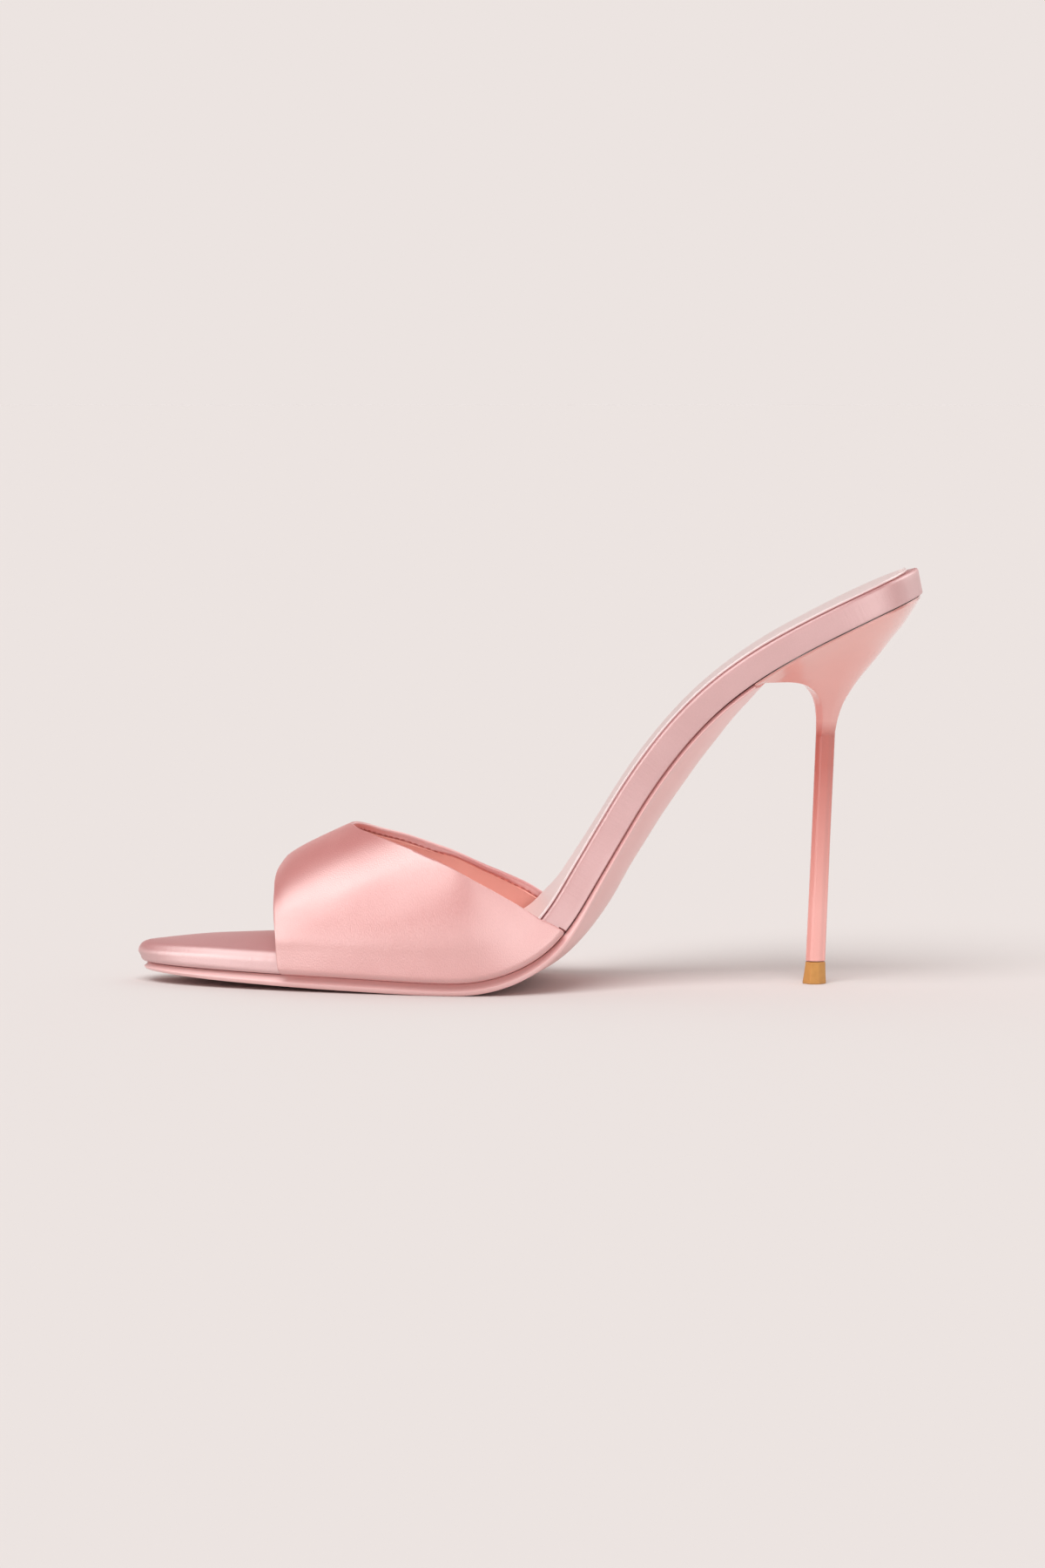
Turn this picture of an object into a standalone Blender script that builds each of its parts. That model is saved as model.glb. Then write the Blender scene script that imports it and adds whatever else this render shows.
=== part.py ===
"""A heeled mule for the left foot: a V-cut band upper, open at the toe, on a stiletto heel.

It goes together as a shoemaker would build it. A wrapped footbed carries a padded sock. The band
upper wraps over the footbed, and its lasting margin turns under into a rebate there. The outsole
closes it from below, the heel stands under the seat, and a top piece takes the wear.

The shoe stands on its outsole and its top piece, toe towards -X, heel towards +X, the outer side
of the foot towards -Y. The tables are in millimetres. Every piece is worked out in sole
coordinates: s runs along the feather line from the toe tip, y across it, and h at right angles to
it, with h = 0 on the footbed's underside edge.
"""

import math

import bmesh
import bpy
import numpy as np
from mathutils import Vector

MM = 0.001

# ---------------------------------------------------------------- driving dimensions, millimetres
FOOTBED_LENGTH = 257.6
TOE_SWING = 4.0  # how far the toe's point lies towards the inner side
TOE_POINT = {"outer": 1.22, "inner": 1.08}  # 1 is a blunt parabola, more is a fuller toe
BALL = {"outer": 95.0, "inner": 80.0}  # stations where each side is widest
SEAT_ROUND = 232.0  # station where the heel end starts to round off
SEAT_FULLNESS = 2.3
TOE_LEAN, BACK_LEAN = 0.7, 1.2  # the footbed's toe and back lean out by this much at the top

GAP = 0.3  # between pieces that meet
TREAD_FLAT = 0.12  # so much is off the tread where it meets the floor
WALL = 1.6  # upper with its lining
MARGIN = 9.0  # lasting margin under the footbed
SOCK_THICKNESS = 0.9
SOCK_INSET = 1.7
SOCK_FRONT = 50.0
OUTSOLE_END = 205.2
BREAST_DEPTH = 3.0

SIDE_HEIGHT = 7.5  # the upper follows the footbed's side up to here
LEAN_REACH = 22  # above that it leans as the sole does on average, this far to either side
RIDGE_SHIFT = 3.0  # the ridge of the foot lies towards the inner side

TOP_PIECE_HEIGHT = 6.0
CENTRING = (0.45, 0.7)  # moves the shoe in x and y so that its box is centred on the origin


def table(columns, *rows):
    """A small table as a dict of columns, each a list down its rows."""
    return dict(zip(columns.split(), map(list, zip(*rows))))


# One row for each station along the sole. pitch is the feather line's slope in degrees, outer and
# inner are half widths, edge is the footbed's height at its outer side, arch how much higher its
# inner side is, cup how far its top is hollowed and camber how far its underside bulges.
SOLE = table(
    "s pitch outer inner edge arch cup camber",
    (0.0, -1.2, 37.5, 36.0, 5.6, 0.0, 0.0, 0.0),
    (22.0, -1.2, 37.5, 36.0, 6.5, 0.0, -1.5, 0.0),
    (50.0, -1.4, 37.5, 36.0, 6.6, 0.0, -2.6, 0.0),
    (72.0, -2.2, 37.5, 36.0, 6.8, 0.0, -0.9, 0.0),
    (85.0, 0.0, 37.5, 35.8, 6.9, 0.0, 0.0, 0.0),
    (98.0, 14.0, 37.3, 33.5, 7.0, 0.6, 0.8, 0.0),
    (110.0, 31.0, 34.5, 28.8, 7.0, 1.4, 1.6, 0.3),
    (121.0, 51.0, 30.5, 24.6, 7.0, 1.5, 2.2, 1.0),
    (132.0, 59.5, 26.8, 21.2, 7.0, 0.5, 2.8, 1.8),
    (152.0, 59.5, 22.0, 18.2, 7.0, 0.0, 3.4, 2.6),
    (168.0, 55.2, 21.0, 18.2, 7.0, -0.2, 3.5, 2.8),
    (184.0, 48.1, 21.4, 19.6, 7.0, -0.5, 3.5, 2.2),
    (204.0, 35.8, 23.0, 22.2, 7.0, -0.7, 3.2, 0.3),
    (222.0, 28.2, 24.6, 24.4, 7.0, -0.7, 2.8, 0.0),
    (257.6, 23.0, 25.0, 25.0, 7.0, -0.2, 2.0, 0.0),
)

# The outsole below it: edge is its thickness at the side, centre its thickness in the middle.
OUTSOLE = table(
    "s edge centre inset",
    (0.0, 1.9, 1.9, 1.0),
    (25.0, 2.8, 2.9, 0.8),
    (60.0, 3.3, 3.3, 0.7),
    (98.0, 3.2, 3.5, 0.7),
    (115.0, 2.6, 4.5, 0.6),
    (132.0, 1.6, 4.4, 0.5),
    (147.0, 1.3, 3.6, 0.5),
    (186.0, 1.3, 3.7, 0.5),
    (200.0, 1.3, 3.4, 0.5),
    (208.2, 1.2, 1.9, 0.5),
)

# Height of the last's ridge above the feather line.
RIDGE = table(
    "s height",
    (36.0, 25.0),
    (40.5, 29.9),
    (43.5, 32.1),
    (50.0, 35.7),
    (58.0, 39.7),
    (80.0, 50.0),
    (121.0, 68.0),
)

# The band's two cut edges. girth is 0 at the feather line and 1 on the ridge of the foot.
CUT = table(
    "girth front outer inner",
    (-1.0, 40.8, 121.2, 121.4),
    (0.0, 40.2, 120.9, 121.6),
    (0.08, 39.8, 120.4, 121.7),
    (0.15, 39.6, 119.6, 121.3),
    (0.25, 39.3, 115.6, 117.2),
    (0.33, 38.9, 108.5, 107.0),
    (0.41, 38.6, 97.0, 93.6),
    (0.50, 38.3, 83.4, 80.5),
    (0.60, 38.2, 73.4, 71.5),
    (0.70, 37.9, 66.0, 64.7),
    (0.84, 38.2, 59.8, 59.9),
    (0.95, 40.0, 57.8, 57.8),
    (1.0, 40.3, 56.9, 56.9),
)
UPPER_FRONT, UPPER_TAIL = CUT["front"][0], CUT["inner"][0]

# The heel from below its rim down to the stem: front and back of each section, its half width, and
# how far its outline has turned from the seat's round back into the stem's eight sides.
HEEL = table(
    "row front_x front_z back_x back_z half rod",
    (0, 63.8, 83.3, 104.9, 103.2, 22.0, 0.0),
    (1, 66.5, 83.1, 102.0, 98.7, 18.2, 0.03),
    (2, 69.7, 82.8, 98.6, 94.4, 14.6, 0.1),
    (3, 72.9, 82.0, 94.7, 89.3, 11.0, 0.22),
    (4, 75.4, 80.2, 90.3, 84.0, 7.7, 0.42),
    (5, 77.0, 78.0, 87.6, 80.2, 5.4, 0.65),
    (6, 77.8, 75.2, 85.5, 76.5, 3.8, 0.86),
    (7, 78.1, 72.0, 84.1, 72.4, 2.9, 1.0),
    (8, 78.1, 69.0, 83.4, 69.0, 2.6, 1.0),
)

SIDES = {"outer": -1.0, "inner": 1.0}


def smooth(rows, column, at, key="s"):
    """A column of a table at a station, on a cubic through its rows that never overshoots them."""
    xs, ys = rows[key], rows[column]
    at = min(max(at, xs[0]), xs[-1])
    chords = [(ys[i + 1] - ys[i]) / (xs[i + 1] - xs[i]) for i in range(len(xs) - 1)]

    def slope(i):
        if i == 0:
            return chords[0]
        if i == len(chords):
            return chords[-1]
        before, after = chords[i - 1], chords[i]
        return 0.0 if before * after <= 0 else 2 * before * after / (before + after)

    i = max(k for k in range(len(chords)) if xs[k] <= at)
    step = xs[i + 1] - xs[i]
    t = (at - xs[i]) / step
    return (
        ys[i] * (1 + 2 * t) * (1 - t) ** 2
        + ys[i + 1] * (3 - 2 * t) * t**2
        + step * t * (1 - t) * (slope(i) * (1 - t) - slope(i + 1) * t)
    )


def bezier(a, b, c, d, t):
    """A point of the cubic curve from a to d with handles b and c."""
    return tuple(
        p * (1 - t) ** 3 + 3 * q * (1 - t) ** 2 * t + 3 * r * (1 - t) * t**2 + u * t**3
        for p, q, r, u in zip(a, b, c, d)
    )


def place(x, y, z):
    """The point in metres, with the whole shoe centred."""
    return Vector((x + CENTRING[0], y + CENTRING[1], z)) * MM


# ---------------------------------------------------------------- the feather line, seen from the side
def feather_line():
    """Stations each half millimetre, with x, z and pitch: the pitch table added up into a curve.

    The last column, the lean, is the pitch evened out over the stations near by. A tall wall rises
    along the lean, because its top would run into itself if it followed each bend of the sole.
    """
    s = np.linspace(0.0, FOOTBED_LENGTH, int(FOOTBED_LENGTH * 2) + 1)
    pitch = np.radians([smooth(SOLE, "pitch", at) for at in s])
    middle = (pitch[1:] + pitch[:-1]) / 2
    x = np.concatenate([[0.0], np.cumsum(np.cos(middle) * np.diff(s))])
    z = np.concatenate([[0.0], np.cumsum(np.sin(middle) * np.diff(s))])
    x -= (x[0] + x[-1]) / 2
    z += GAP + smooth(OUTSOLE, "edge", 85.0) - TREAD_FLAT - z.min()
    window = np.ones(4 * LEAN_REACH + 1) / (4 * LEAN_REACH + 1)
    lean = np.convolve(np.pad(pitch, 2 * LEAN_REACH, mode="edge"), window, mode="valid")
    return s, x, z, pitch, lean


FEATHER = feather_line()


def on_sole(s, y, h, rise=0.0):
    """The point with these sole coordinates, in metres, and rise above it along the lean."""
    stations, *columns = FEATHER
    beyond = s - min(max(s, 0.0), FOOTBED_LENGTH)
    x, z, pitch, lean = (float(np.interp(s, stations, values)) for values in columns)
    x += beyond * math.cos(pitch) - h * math.sin(pitch) - rise * math.sin(lean)
    z += beyond * math.sin(pitch) + h * math.cos(pitch) + rise * math.cos(lean)
    return place(x, y, z)


# ---------------------------------------------------------------- the sole's outline
def centre(s):
    """The middle of the sole, which swings to the inner side at the toe."""
    return TOE_SWING * max(0.0, 1 - s / BALL["outer"]) ** 2


def half_width(side, s):
    """From the middle to the edge, pointed at the toe and round at the heel."""
    width = smooth(SOLE, side, s)
    if s < BALL[side]:
        width *= math.sqrt(1 - (1 - s / BALL[side]) ** TOE_POINT[side])
    if s > SEAT_ROUND:
        along = min(1.0, (s - SEAT_ROUND) / (FOOTBED_LENGTH - SEAT_ROUND))
        width *= (1 - along**SEAT_FULLNESS) ** (1 / SEAT_FULLNESS)
    return width


def outline(side, s):
    """The outline's point (s, y). Past either end it goes on round, down the other side."""
    other = {"outer": "inner", "inner": "outer"}[side]
    if s < 0:
        return outline(other, -s)
    if s > FOOTBED_LENGTH:
        return outline(other, 2 * FOOTBED_LENGTH - s)
    return s, centre(s) + SIDES[side] * half_width(side, s)


def inset_point(side, s, inset):
    """The outline's point at s, moved in at right angles to the outline."""
    reach = 0.05
    s0, y0 = outline(side, s - reach)
    s1, y1 = outline(side, s + reach)
    length = math.hypot(s1 - s0, y1 - y0)
    at_s, at_y = outline(side, s)
    turn = SIDES[side]
    return at_s + turn * (y1 - y0) / length * inset, at_y - turn * (s1 - s0) / length * inset


def dish(s, y):
    """0 on the sole's edges and 1 in the middle, as a parabola across."""
    low, high = outline("outer", s)[1], outline("inner", s)[1]
    across = min(1.0, max(0.0, (y - low) / (high - low))) if high - low > 1.0 else 0.0
    return 4 * across * (1 - across)


def underside(s, y):
    """Height of the footbed's underside, which is 0 on the feather line."""
    return -smooth(SOLE, "camber", s) * dish(s, y)


# ---------------------------------------------------------------- stations that the pieces share
NOSE, TAIL_END = 33.0, 21.0
REBATE = (UPPER_FRONT - GAP, UPPER_TAIL + GAP)


def stations(first, last):
    """The shared stations from first to last, closer together at the ends and in the bend."""
    grid = [NOSE * (k / 10) ** 2 for k in range(11)]
    grid += [REBATE[0] - GAP, REBATE[0]]
    grid += list(np.arange(46.0, 84.0, 8.0)) + list(np.arange(84.0, 133.0, 4.0))
    grid += [REBATE[1], REBATE[1] + GAP]
    grid += list(np.arange(139.0, 203.0, 7.0)) + [OUTSOLE_END, 209.0, 216.0, 223.0, 230.0]
    grid += [FOOTBED_LENGTH - TAIL_END * (k / 8) ** 2 for k in range(8, -1, -1)]
    inside = [s for s in sorted(grid) if first + 0.1 < s < last - 0.1]
    return [first] + inside + [last]


# ---------------------------------------------------------------- building
def material(name, colour, roughness, coat=0.0, sheen=0.0):
    made = bpy.data.materials.new(name)
    made.use_nodes = True
    shader = made.node_tree.nodes["Principled BSDF"]
    shader.inputs["Base Color"].default_value = (*colour, 1.0)
    shader.inputs["Roughness"].default_value = roughness
    shader.inputs["Coat Weight"].default_value = coat
    shader.inputs["Sheen Weight"].default_value = sheen
    return made


def object_from(bm, name, surface, sharp_degrees=35.0):
    mesh = bpy.data.meshes.new(name)
    bm.to_mesh(mesh)
    bm.free()
    mesh.shade_smooth()
    mesh.set_sharp_from_angle(angle=math.radians(sharp_degrees))
    mesh.materials.append(surface)
    made = bpy.data.objects.new(name, mesh)
    bpy.context.scene.collection.objects.link(made)
    return made


def sheet(rows):
    """A bmesh grid with its corners moved to rows of points."""
    bm = bmesh.new()
    columns, count = len(rows[0]) - 1, len(rows) - 1
    bmesh.ops.create_grid(bm, x_segments=columns, y_segments=count, size=0.5)
    for vertex in bm.verts:
        column = round((vertex.co.x + 0.5) * columns)
        row = round((vertex.co.y + 0.5) * count)
        vertex.co = rows[row][column]
    return bm


def weld(bm):
    bmesh.ops.remove_doubles(bm, verts=bm.verts, dist=0.001 * MM)


def skin(rings, caps=None):
    """A closed body through rings of points. A ring that is folded flat closes its end by itself."""
    bm = sheet([ring + ring[:1] for ring in rings])
    weld(bm)
    if caps:
        for rows in caps:
            cap = sheet(rows)
            mesh = bpy.data.meshes.new("cap")
            cap.to_mesh(mesh)
            cap.free()
            bm.from_mesh(mesh)
            bpy.data.meshes.remove(mesh)
        weld(bm)
    open_edges = [edge for edge in bm.edges if edge.is_boundary]
    bmesh.ops.holes_fill(bm, edges=open_edges, sides=0)
    bmesh.ops.recalc_face_normals(bm, faces=bm.faces)
    if bm.calc_volume(signed=True) < 0:
        bmesh.ops.reverse_faces(bm, faces=bm.faces)
    return bm


def end_cap(ring, middle):
    """Rows that close a flat ring, its points paired on both ways round from its middle point."""
    half = range(len(ring) // 2 + 1)
    return [[ring[(middle + way * k) % len(ring)] for k in half] for way in (1, -1)]


def across(low, high, count):
    """count points between two points, without either."""
    return [tuple(p + (q - p) * k / (count + 1) for p, q in zip(low, high)) for k in range(1, count + 1)]


# ---------------------------------------------------------------- footbed
TOP_ROUND = table("s radius", (0.0, 3.0), (45.0, 3.4), (100.0, 2.0), (125.0, 1.1), (257.6, 0.9))
FOOT_ROUND = table("s radius", (0.0, 1.7), (30.0, 1.3), (60.0, 0.8), (257.6, 0.8))


def footbed_side(side, s):
    """One side's points (s, y, h), from the step of the rebate round to the top's edge."""
    rebated = REBATE[0] <= s <= REBATE[1]
    base = WALL + GAP if rebated else 0.0
    foot, top = smooth(FOOT_ROUND, "radius", s), smooth(TOP_ROUND, "radius", s)
    step = max(foot, min(MARGIN + GAP, 0.45 * half_width(side, s)))
    height = smooth(SOLE, "edge", s) + (smooth(SOLE, "arch", s) if side == "inner" else 0.0)
    lean = BACK_LEAN * max(0.0, (s - SEAT_ROUND) / (FOOTBED_LENGTH - SEAT_ROUND)) ** 2
    lean += TOE_LEAN * max(0.0, 1 - s / 15.0) ** 2
    profile = [
        (foot * (1 - math.sin(a)), base + foot * (1 - math.cos(a)))
        for a in (0.0, math.pi / 4, math.pi / 2)
    ]
    profile += [
        (top * (1 - math.cos(a)) - lean, height - top * (1 - math.sin(a)))
        for a in (0.0, math.pi / 6, math.pi / 3, math.pi / 2)
    ]
    points = []
    for inset, rise in ((step + (GAP if step > foot else 0.0), 0.0), (step, base)):
        at, y = inset_point(side, s, inset)
        points.append((at, y, underside(at, y) + rise))
    return points + [(*inset_point(side, s, inset), rise) for inset, rise in profile]


def topside(s, y, low, high):
    """The top's height between its two rounded edges, hollowed by the cup."""
    share = (y - low[1]) / (high[1] - low[1]) if high[1] - low[1] > 0.01 else 0.0
    return low[2] + (high[2] - low[2]) * share - smooth(SOLE, "cup", s) * 4 * share * (1 - share)


def footbed_ring(s):
    outer, inner = footbed_side("outer", s), footbed_side("inner", s)
    top = [(at, y, topside(at, y, outer[-1], inner[-1])) for at, y, _ in across(outer[-1], inner[-1], 7)]
    bottom = [(at, y, underside(at, y)) for at, y, _ in across(inner[0], outer[0], 5)]
    return [on_sole(*p) for p in outer + top + inner[::-1] + bottom]


def footbed(surface):
    rings = [footbed_ring(s) for s in stations(0.0, FOOTBED_LENGTH)]
    return object_from(skin(rings), "footbed", surface)


# ---------------------------------------------------------------- sock
def sock_ring(s):
    """A thin pad on the footbed's top, its edge rounded."""
    radius = SOCK_THICKNESS * 0.6
    low, high = footbed_side("outer", s)[-1], footbed_side("inner", s)[-1]
    profile = (
        (0.4, 0.0),
        (0.0, 0.25),
        (0.0, SOCK_THICKNESS - radius),
        (0.35 * radius, SOCK_THICKNESS - 0.3 * radius),
        (radius, SOCK_THICKNESS),
    )

    def rim(side):
        points = [(*inset_point(side, s, SOCK_INSET + inset), up) for inset, up in profile]
        return [(at, y, topside(at, y, low, high) + GAP + up) for at, y, up in points]

    outer, inner = rim("outer"), rim("inner")
    top = [
        (at, y, topside(at, y, low, high) + GAP + SOCK_THICKNESS)
        for at, y, _ in across(outer[-1], inner[-1], 7)
    ]
    bottom = [
        (at, y, topside(at, y, low, high) + GAP) for at, y, _ in across(inner[0], outer[0], 7)
    ]
    return [on_sole(*p) for p in outer + top + inner[::-1] + bottom]


def sock(surface):
    rings = [sock_ring(s) for s in stations(SOCK_FRONT, FOOTBED_LENGTH)]
    return object_from(skin(rings), "sock", surface)


# ---------------------------------------------------------------- outsole
def breast(s, share):
    """The heel's front is hollow, and the outsole's end fills it: how far it reaches there."""
    return BREAST_DEPTH * 4 * share * (1 - share) if s > OUTSOLE_END - 0.1 else 0.0


def outsole_side(side, s):
    """From the top's edge, over a recessed flank and a ridge, to the bevelled tread edge."""
    edge, inset = smooth(OUTSOLE, "edge", s), smooth(OUTSOLE, "inset", s)
    profile = (
        (inset + 1.1, 0.0),
        (inset + 0.5, 0.35 * edge),
        (inset, 0.62 * edge),
        (inset + 0.25, 0.85 * edge),
        (inset + 0.9, edge),
    )
    return [(*inset_point(side, s, i), -GAP - down) for i, down in profile]


def tread(s, share):
    """Height of the tread, share 0 and 1 at its edges."""
    edge, middle = smooth(OUTSOLE, "edge", s), smooth(OUTSOLE, "centre", s)
    return -GAP - edge - (middle - edge + smooth(SOLE, "camber", s)) * 4 * share * (1 - share)


def outsole_ring(s):
    outer, inner = outsole_side("outer", s), outsole_side("inner", s)
    shares = [(k + 1) / 8 for k in range(7)]
    under = [
        (at + breast(s, k), y, tread(at + breast(s, k), k))
        for k, (at, y, _) in zip(shares, across(outer[-1], inner[-1], 7))
    ]
    top = [
        (at + breast(s, k), y, underside(at, y) - GAP)
        for k, (at, y, _) in zip(shares, across(inner[0], outer[0], 7))
    ]
    points = [on_sole(*p) for p in outer + under + inner[::-1] + top]
    for point in points:
        point.z = max(point.z, 0.0)
    return points


def outsole(surface):
    rings = [outsole_ring(s) for s in stations(0.0, OUTSOLE_END)]
    return object_from(skin(rings, caps=[end_cap(rings[-1], 2)]), "outsole", surface)


# ---------------------------------------------------------------- upper
CORNER = WALL + GAP  # outside radius of the turn under the footbed
SIDE_GIRTH = 0.15


def upper_point(side, s, girth):
    """A point (s, y, h, rise) of the upper's outer face. Below 0, girth is in the lasting margin."""
    if girth < -1:
        at, y = inset_point(side, s, (-1 - girth) * MARGIN)
        return at, y, underside(at, y), 0.0
    if girth < 0:
        turn = -girth * math.pi / 2
        at, y = inset_point(side, s, -CORNER * math.cos(turn))
        return at, y, CORNER * (1 - math.sin(turn)), 0.0
    at, y = inset_point(side, s, -CORNER)
    if girth <= SIDE_GIRTH:
        return at, y, CORNER + (SIDE_HEIGHT - CORNER) * girth / SIDE_GIRTH, 0.0
    ridge_y = centre(s) + RIDGE_SHIFT
    top = smooth(RIDGE, "height", s) - SIDE_HEIGHT
    y, rise = bezier(
        (y, 0.0),
        (y + SIDES[side] * 1.0, 0.5 * top),
        (ridge_y + 0.55 * (y - ridge_y), top),
        (ridge_y, top),
        (girth - SIDE_GIRTH) / (1 - SIDE_GIRTH),
    )
    return at, y, SIDE_HEIGHT, rise


def girths():
    """Girth positions from the margin's edge to the ridge."""
    margin, turn = [-2.0, -1.5], [-1.0, -0.7, -0.35]
    side = [0.0, SIDE_GIRTH / 2]
    crown = [SIDE_GIRTH + (1 - SIDE_GIRTH) * k / 9 for k in range(10)]
    return margin + turn + side + crown


def upper_row(share):
    """One line of points over the foot, share 0 at the front edge and 1 at the topline."""
    row = []
    for side in ("inner", "outer"):
        points = []
        for girth in girths():
            front = smooth(CUT, "front", girth, "girth")
            back = smooth(CUT, side, girth, "girth")
            points.append(on_sole(*upper_point(side, front + share * (back - front), girth)))
        row.append(points)
    return row[0] + row[1][-2::-1]


def upper(surface, rows=20):
    band = object_from(sheet([upper_row(k / rows) for k in range(rows + 1)]), "upper", surface)
    wall = band.modifiers.new("wall", "SOLIDIFY")
    wall.thickness = WALL * MM
    wall.offset = -1.0
    wall.use_even_offset = True
    wall.use_quality_normals = True
    return band


# ---------------------------------------------------------------- heel
HEEL_FRONT = OUTSOLE_END + GAP
HEEL_INSET = 1.0
SEAT_RIM = 0.6  # the seat's edge is this thick
# Sections of the stem below the flare: height, middle, half length and half width.
STEM = ((40.0, 79.6, 2.6, 2.55), (TOP_PIECE_HEIGHT + GAP, 78.25, 2.7, 2.6))
FRONT_SEGMENTS, SIDE_SEGMENTS = 8, 10


def seat_stations():
    """Stations down the seat, closer together at its round end."""
    length = FOOTBED_LENGTH - HEEL_FRONT
    turns = [math.pi / 2 * k / SIDE_SEGMENTS for k in range(SIDE_SEGMENTS + 1)]
    return [HEEL_FRONT + length * math.sin(turn) for turn in turns]


def seat_rows():
    """The heel's top as rows of points across the seat, which it meets."""
    rows = []
    for s in seat_stations():
        low, high = inset_point("outer", s, HEEL_INSET), inset_point("inner", s, HEEL_INSET)
        row = [low] + across(low, high, FRONT_SEGMENTS - 1) + [high]
        shares = [k / FRONT_SEGMENTS for k in range(FRONT_SEGMENTS + 1)]
        fade = (FOOTBED_LENGTH - s) / (FOOTBED_LENGTH - HEEL_FRONT)
        rows.append([
            (at + fade * breast(HEEL_FRONT, share), y, -GAP) for share, (at, y) in zip(shares, row)
        ])
    return rows


def stem_outline(angle, half_length, half_width):
    """A rod's rounded eight-sided section: front, sides and back are flats with soft corners."""
    c, s = math.cos(angle), math.sin(angle)
    power = 3.2
    reach = (abs(c) ** power + abs(s) ** power) ** (-1 / power)
    corner = 1 / (abs(c) + abs(s)) * 1.36
    reach = min(reach, corner)
    return half_length * reach * c, half_width * reach * s


def heel(surface):
    rows = seat_rows()
    outer = [row[0] for row in rows]
    inner = [row[-1] for row in rows]
    # Round the seat: from the back along the outer side, across the front, back along the inner.
    seat = outer[::-1] + rows[0][1:-1] + inner[:-1]
    angles = [0.64 * math.pi * k / SIDE_SEGMENTS for k in range(SIDE_SEGMENTS + 1)]
    angles += [0.64 * math.pi + 0.72 * math.pi * k / FRONT_SEGMENTS for k in range(1, FRONT_SEGMENTS)]
    angles += [2 * math.pi - a for a in angles[SIDE_SEGMENTS:0:-1]]
    top = [on_sole(*p) / MM for p in seat]
    front, back = top[SIDE_SEGMENTS], top[0]
    width = max(p.y for p in top) - CENTRING[1]
    rings = [[p * MM for p in top], [on_sole(s, y, h - SEAT_RIM) for s, y, h in seat]]
    shares = [((p.x - front.x) / (back.x - front.x), (p.y - CENTRING[1]) / width) for p in top]
    bows = [p.z - front.z - share * (back.z - front.z) for p, (share, _) in zip(top, shares)]
    for k in range(2 * len(HEEL["row"]) - 1):
        front_x, front_z, back_x, back_z, half, rod = (
            smooth(HEEL, column, k / 2, "row")
            for column in ("front_x", "front_z", "back_x", "back_z", "half", "rod")
        )
        ring = []
        for (share, side), angle, bow in zip(shares, angles, bows):
            along, out = stem_outline(angle, 0.5, 1.0)
            u = share * (1 - rod) + (0.5 + along) * rod
            v = side * (1 - rod) - out * rod
            x, z = front_x + u * (back_x - front_x), front_z + u * (back_z - front_z)
            ring.append(place(x, half * v, z + bow * (1 - rod) ** 4))
        rings.append(ring)
    for z, middle, half_length, half_wide in STEM:
        rings.append([place(middle + x, -y, z) for x, y in (
            stem_outline(angle, half_length, half_wide) for angle in angles)])
    cap = [[on_sole(*p) for p in row] for row in rows]
    return object_from(skin(rings, caps=[cap]), "heel", surface)


def top_piece(surface):
    """It flares down from the stem's end to the floor."""
    _, middle, half_length, half_wide = STEM[-1]
    turn = [2 * math.pi * k / 24 for k in range(24)]
    rings = []
    for z, back, grown in ((TOP_PIECE_HEIGHT, 0.0, 0.0), (0.4, 0.3, 0.5), (0.0, 0.3, 0.3)):
        rings.append([place(middle - back + x, -y, z) for x, y in (
            stem_outline(angle, half_length + grown, half_wide + grown) for angle in turn)])
    return object_from(skin(rings), "top_piece", surface)


def main():
    for old in list(bpy.data.objects):
        bpy.data.objects.remove(old)
    satin = material("satin", (0.83, 0.47, 0.45), 0.38, sheen=0.3)
    sock_satin = material("sock_satin", (0.84, 0.50, 0.48), 0.42, sheen=0.3)
    leather = material("sole_leather", (0.78, 0.44, 0.43), 0.35)
    lacquer = material("heel_lacquer", (0.82, 0.40, 0.37), 0.12, coat=0.6)
    rubber = material("top_piece_rubber", (0.62, 0.33, 0.10), 0.5)
    footbed(satin)
    sock(sock_satin)
    upper(satin)
    outsole(leather)
    heel(lacquer)
    top_piece(rubber)


main()
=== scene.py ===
# %% [markdown]
# # A satin mule on a stiletto heel
# This lesson dresses a left-foot mule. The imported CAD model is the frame: it fixes the size, the place
# and the outline of every piece. Each piece is then made again, finer, in the same coordinates, and
# gets the finish that a shoemaker would give it.

# %% Load the frame
import math

import bmesh
import bpy
import numpy as np
from mathutils import Matrix, Vector


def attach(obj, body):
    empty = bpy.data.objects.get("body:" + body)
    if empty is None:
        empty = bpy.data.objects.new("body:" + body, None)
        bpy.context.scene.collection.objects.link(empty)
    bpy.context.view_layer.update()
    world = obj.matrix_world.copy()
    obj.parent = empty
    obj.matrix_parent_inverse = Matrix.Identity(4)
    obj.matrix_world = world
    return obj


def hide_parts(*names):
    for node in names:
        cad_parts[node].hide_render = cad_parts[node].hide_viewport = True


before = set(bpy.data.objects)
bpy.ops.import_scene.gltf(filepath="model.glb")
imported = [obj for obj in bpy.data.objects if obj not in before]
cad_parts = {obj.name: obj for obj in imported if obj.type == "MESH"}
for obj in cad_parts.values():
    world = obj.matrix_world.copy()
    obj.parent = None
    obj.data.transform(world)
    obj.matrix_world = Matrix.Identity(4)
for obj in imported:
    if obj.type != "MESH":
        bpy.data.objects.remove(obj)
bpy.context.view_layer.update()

MM = 0.001
print("nodes:", ", ".join(sorted(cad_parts)))

# %% [markdown]
# A shoe's sections change slowly along the sole, so a few measured stations describe it. A table holds
# them, a row for each station, and a cubic that never overshoots its rows reads them at any place.


# %% Tables and the cubic that reads them
def table(columns, *rows):
    """A small table as a dict of columns, each a list down its rows."""
    return dict(zip(columns.split(), map(list, zip(*rows))))


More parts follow.
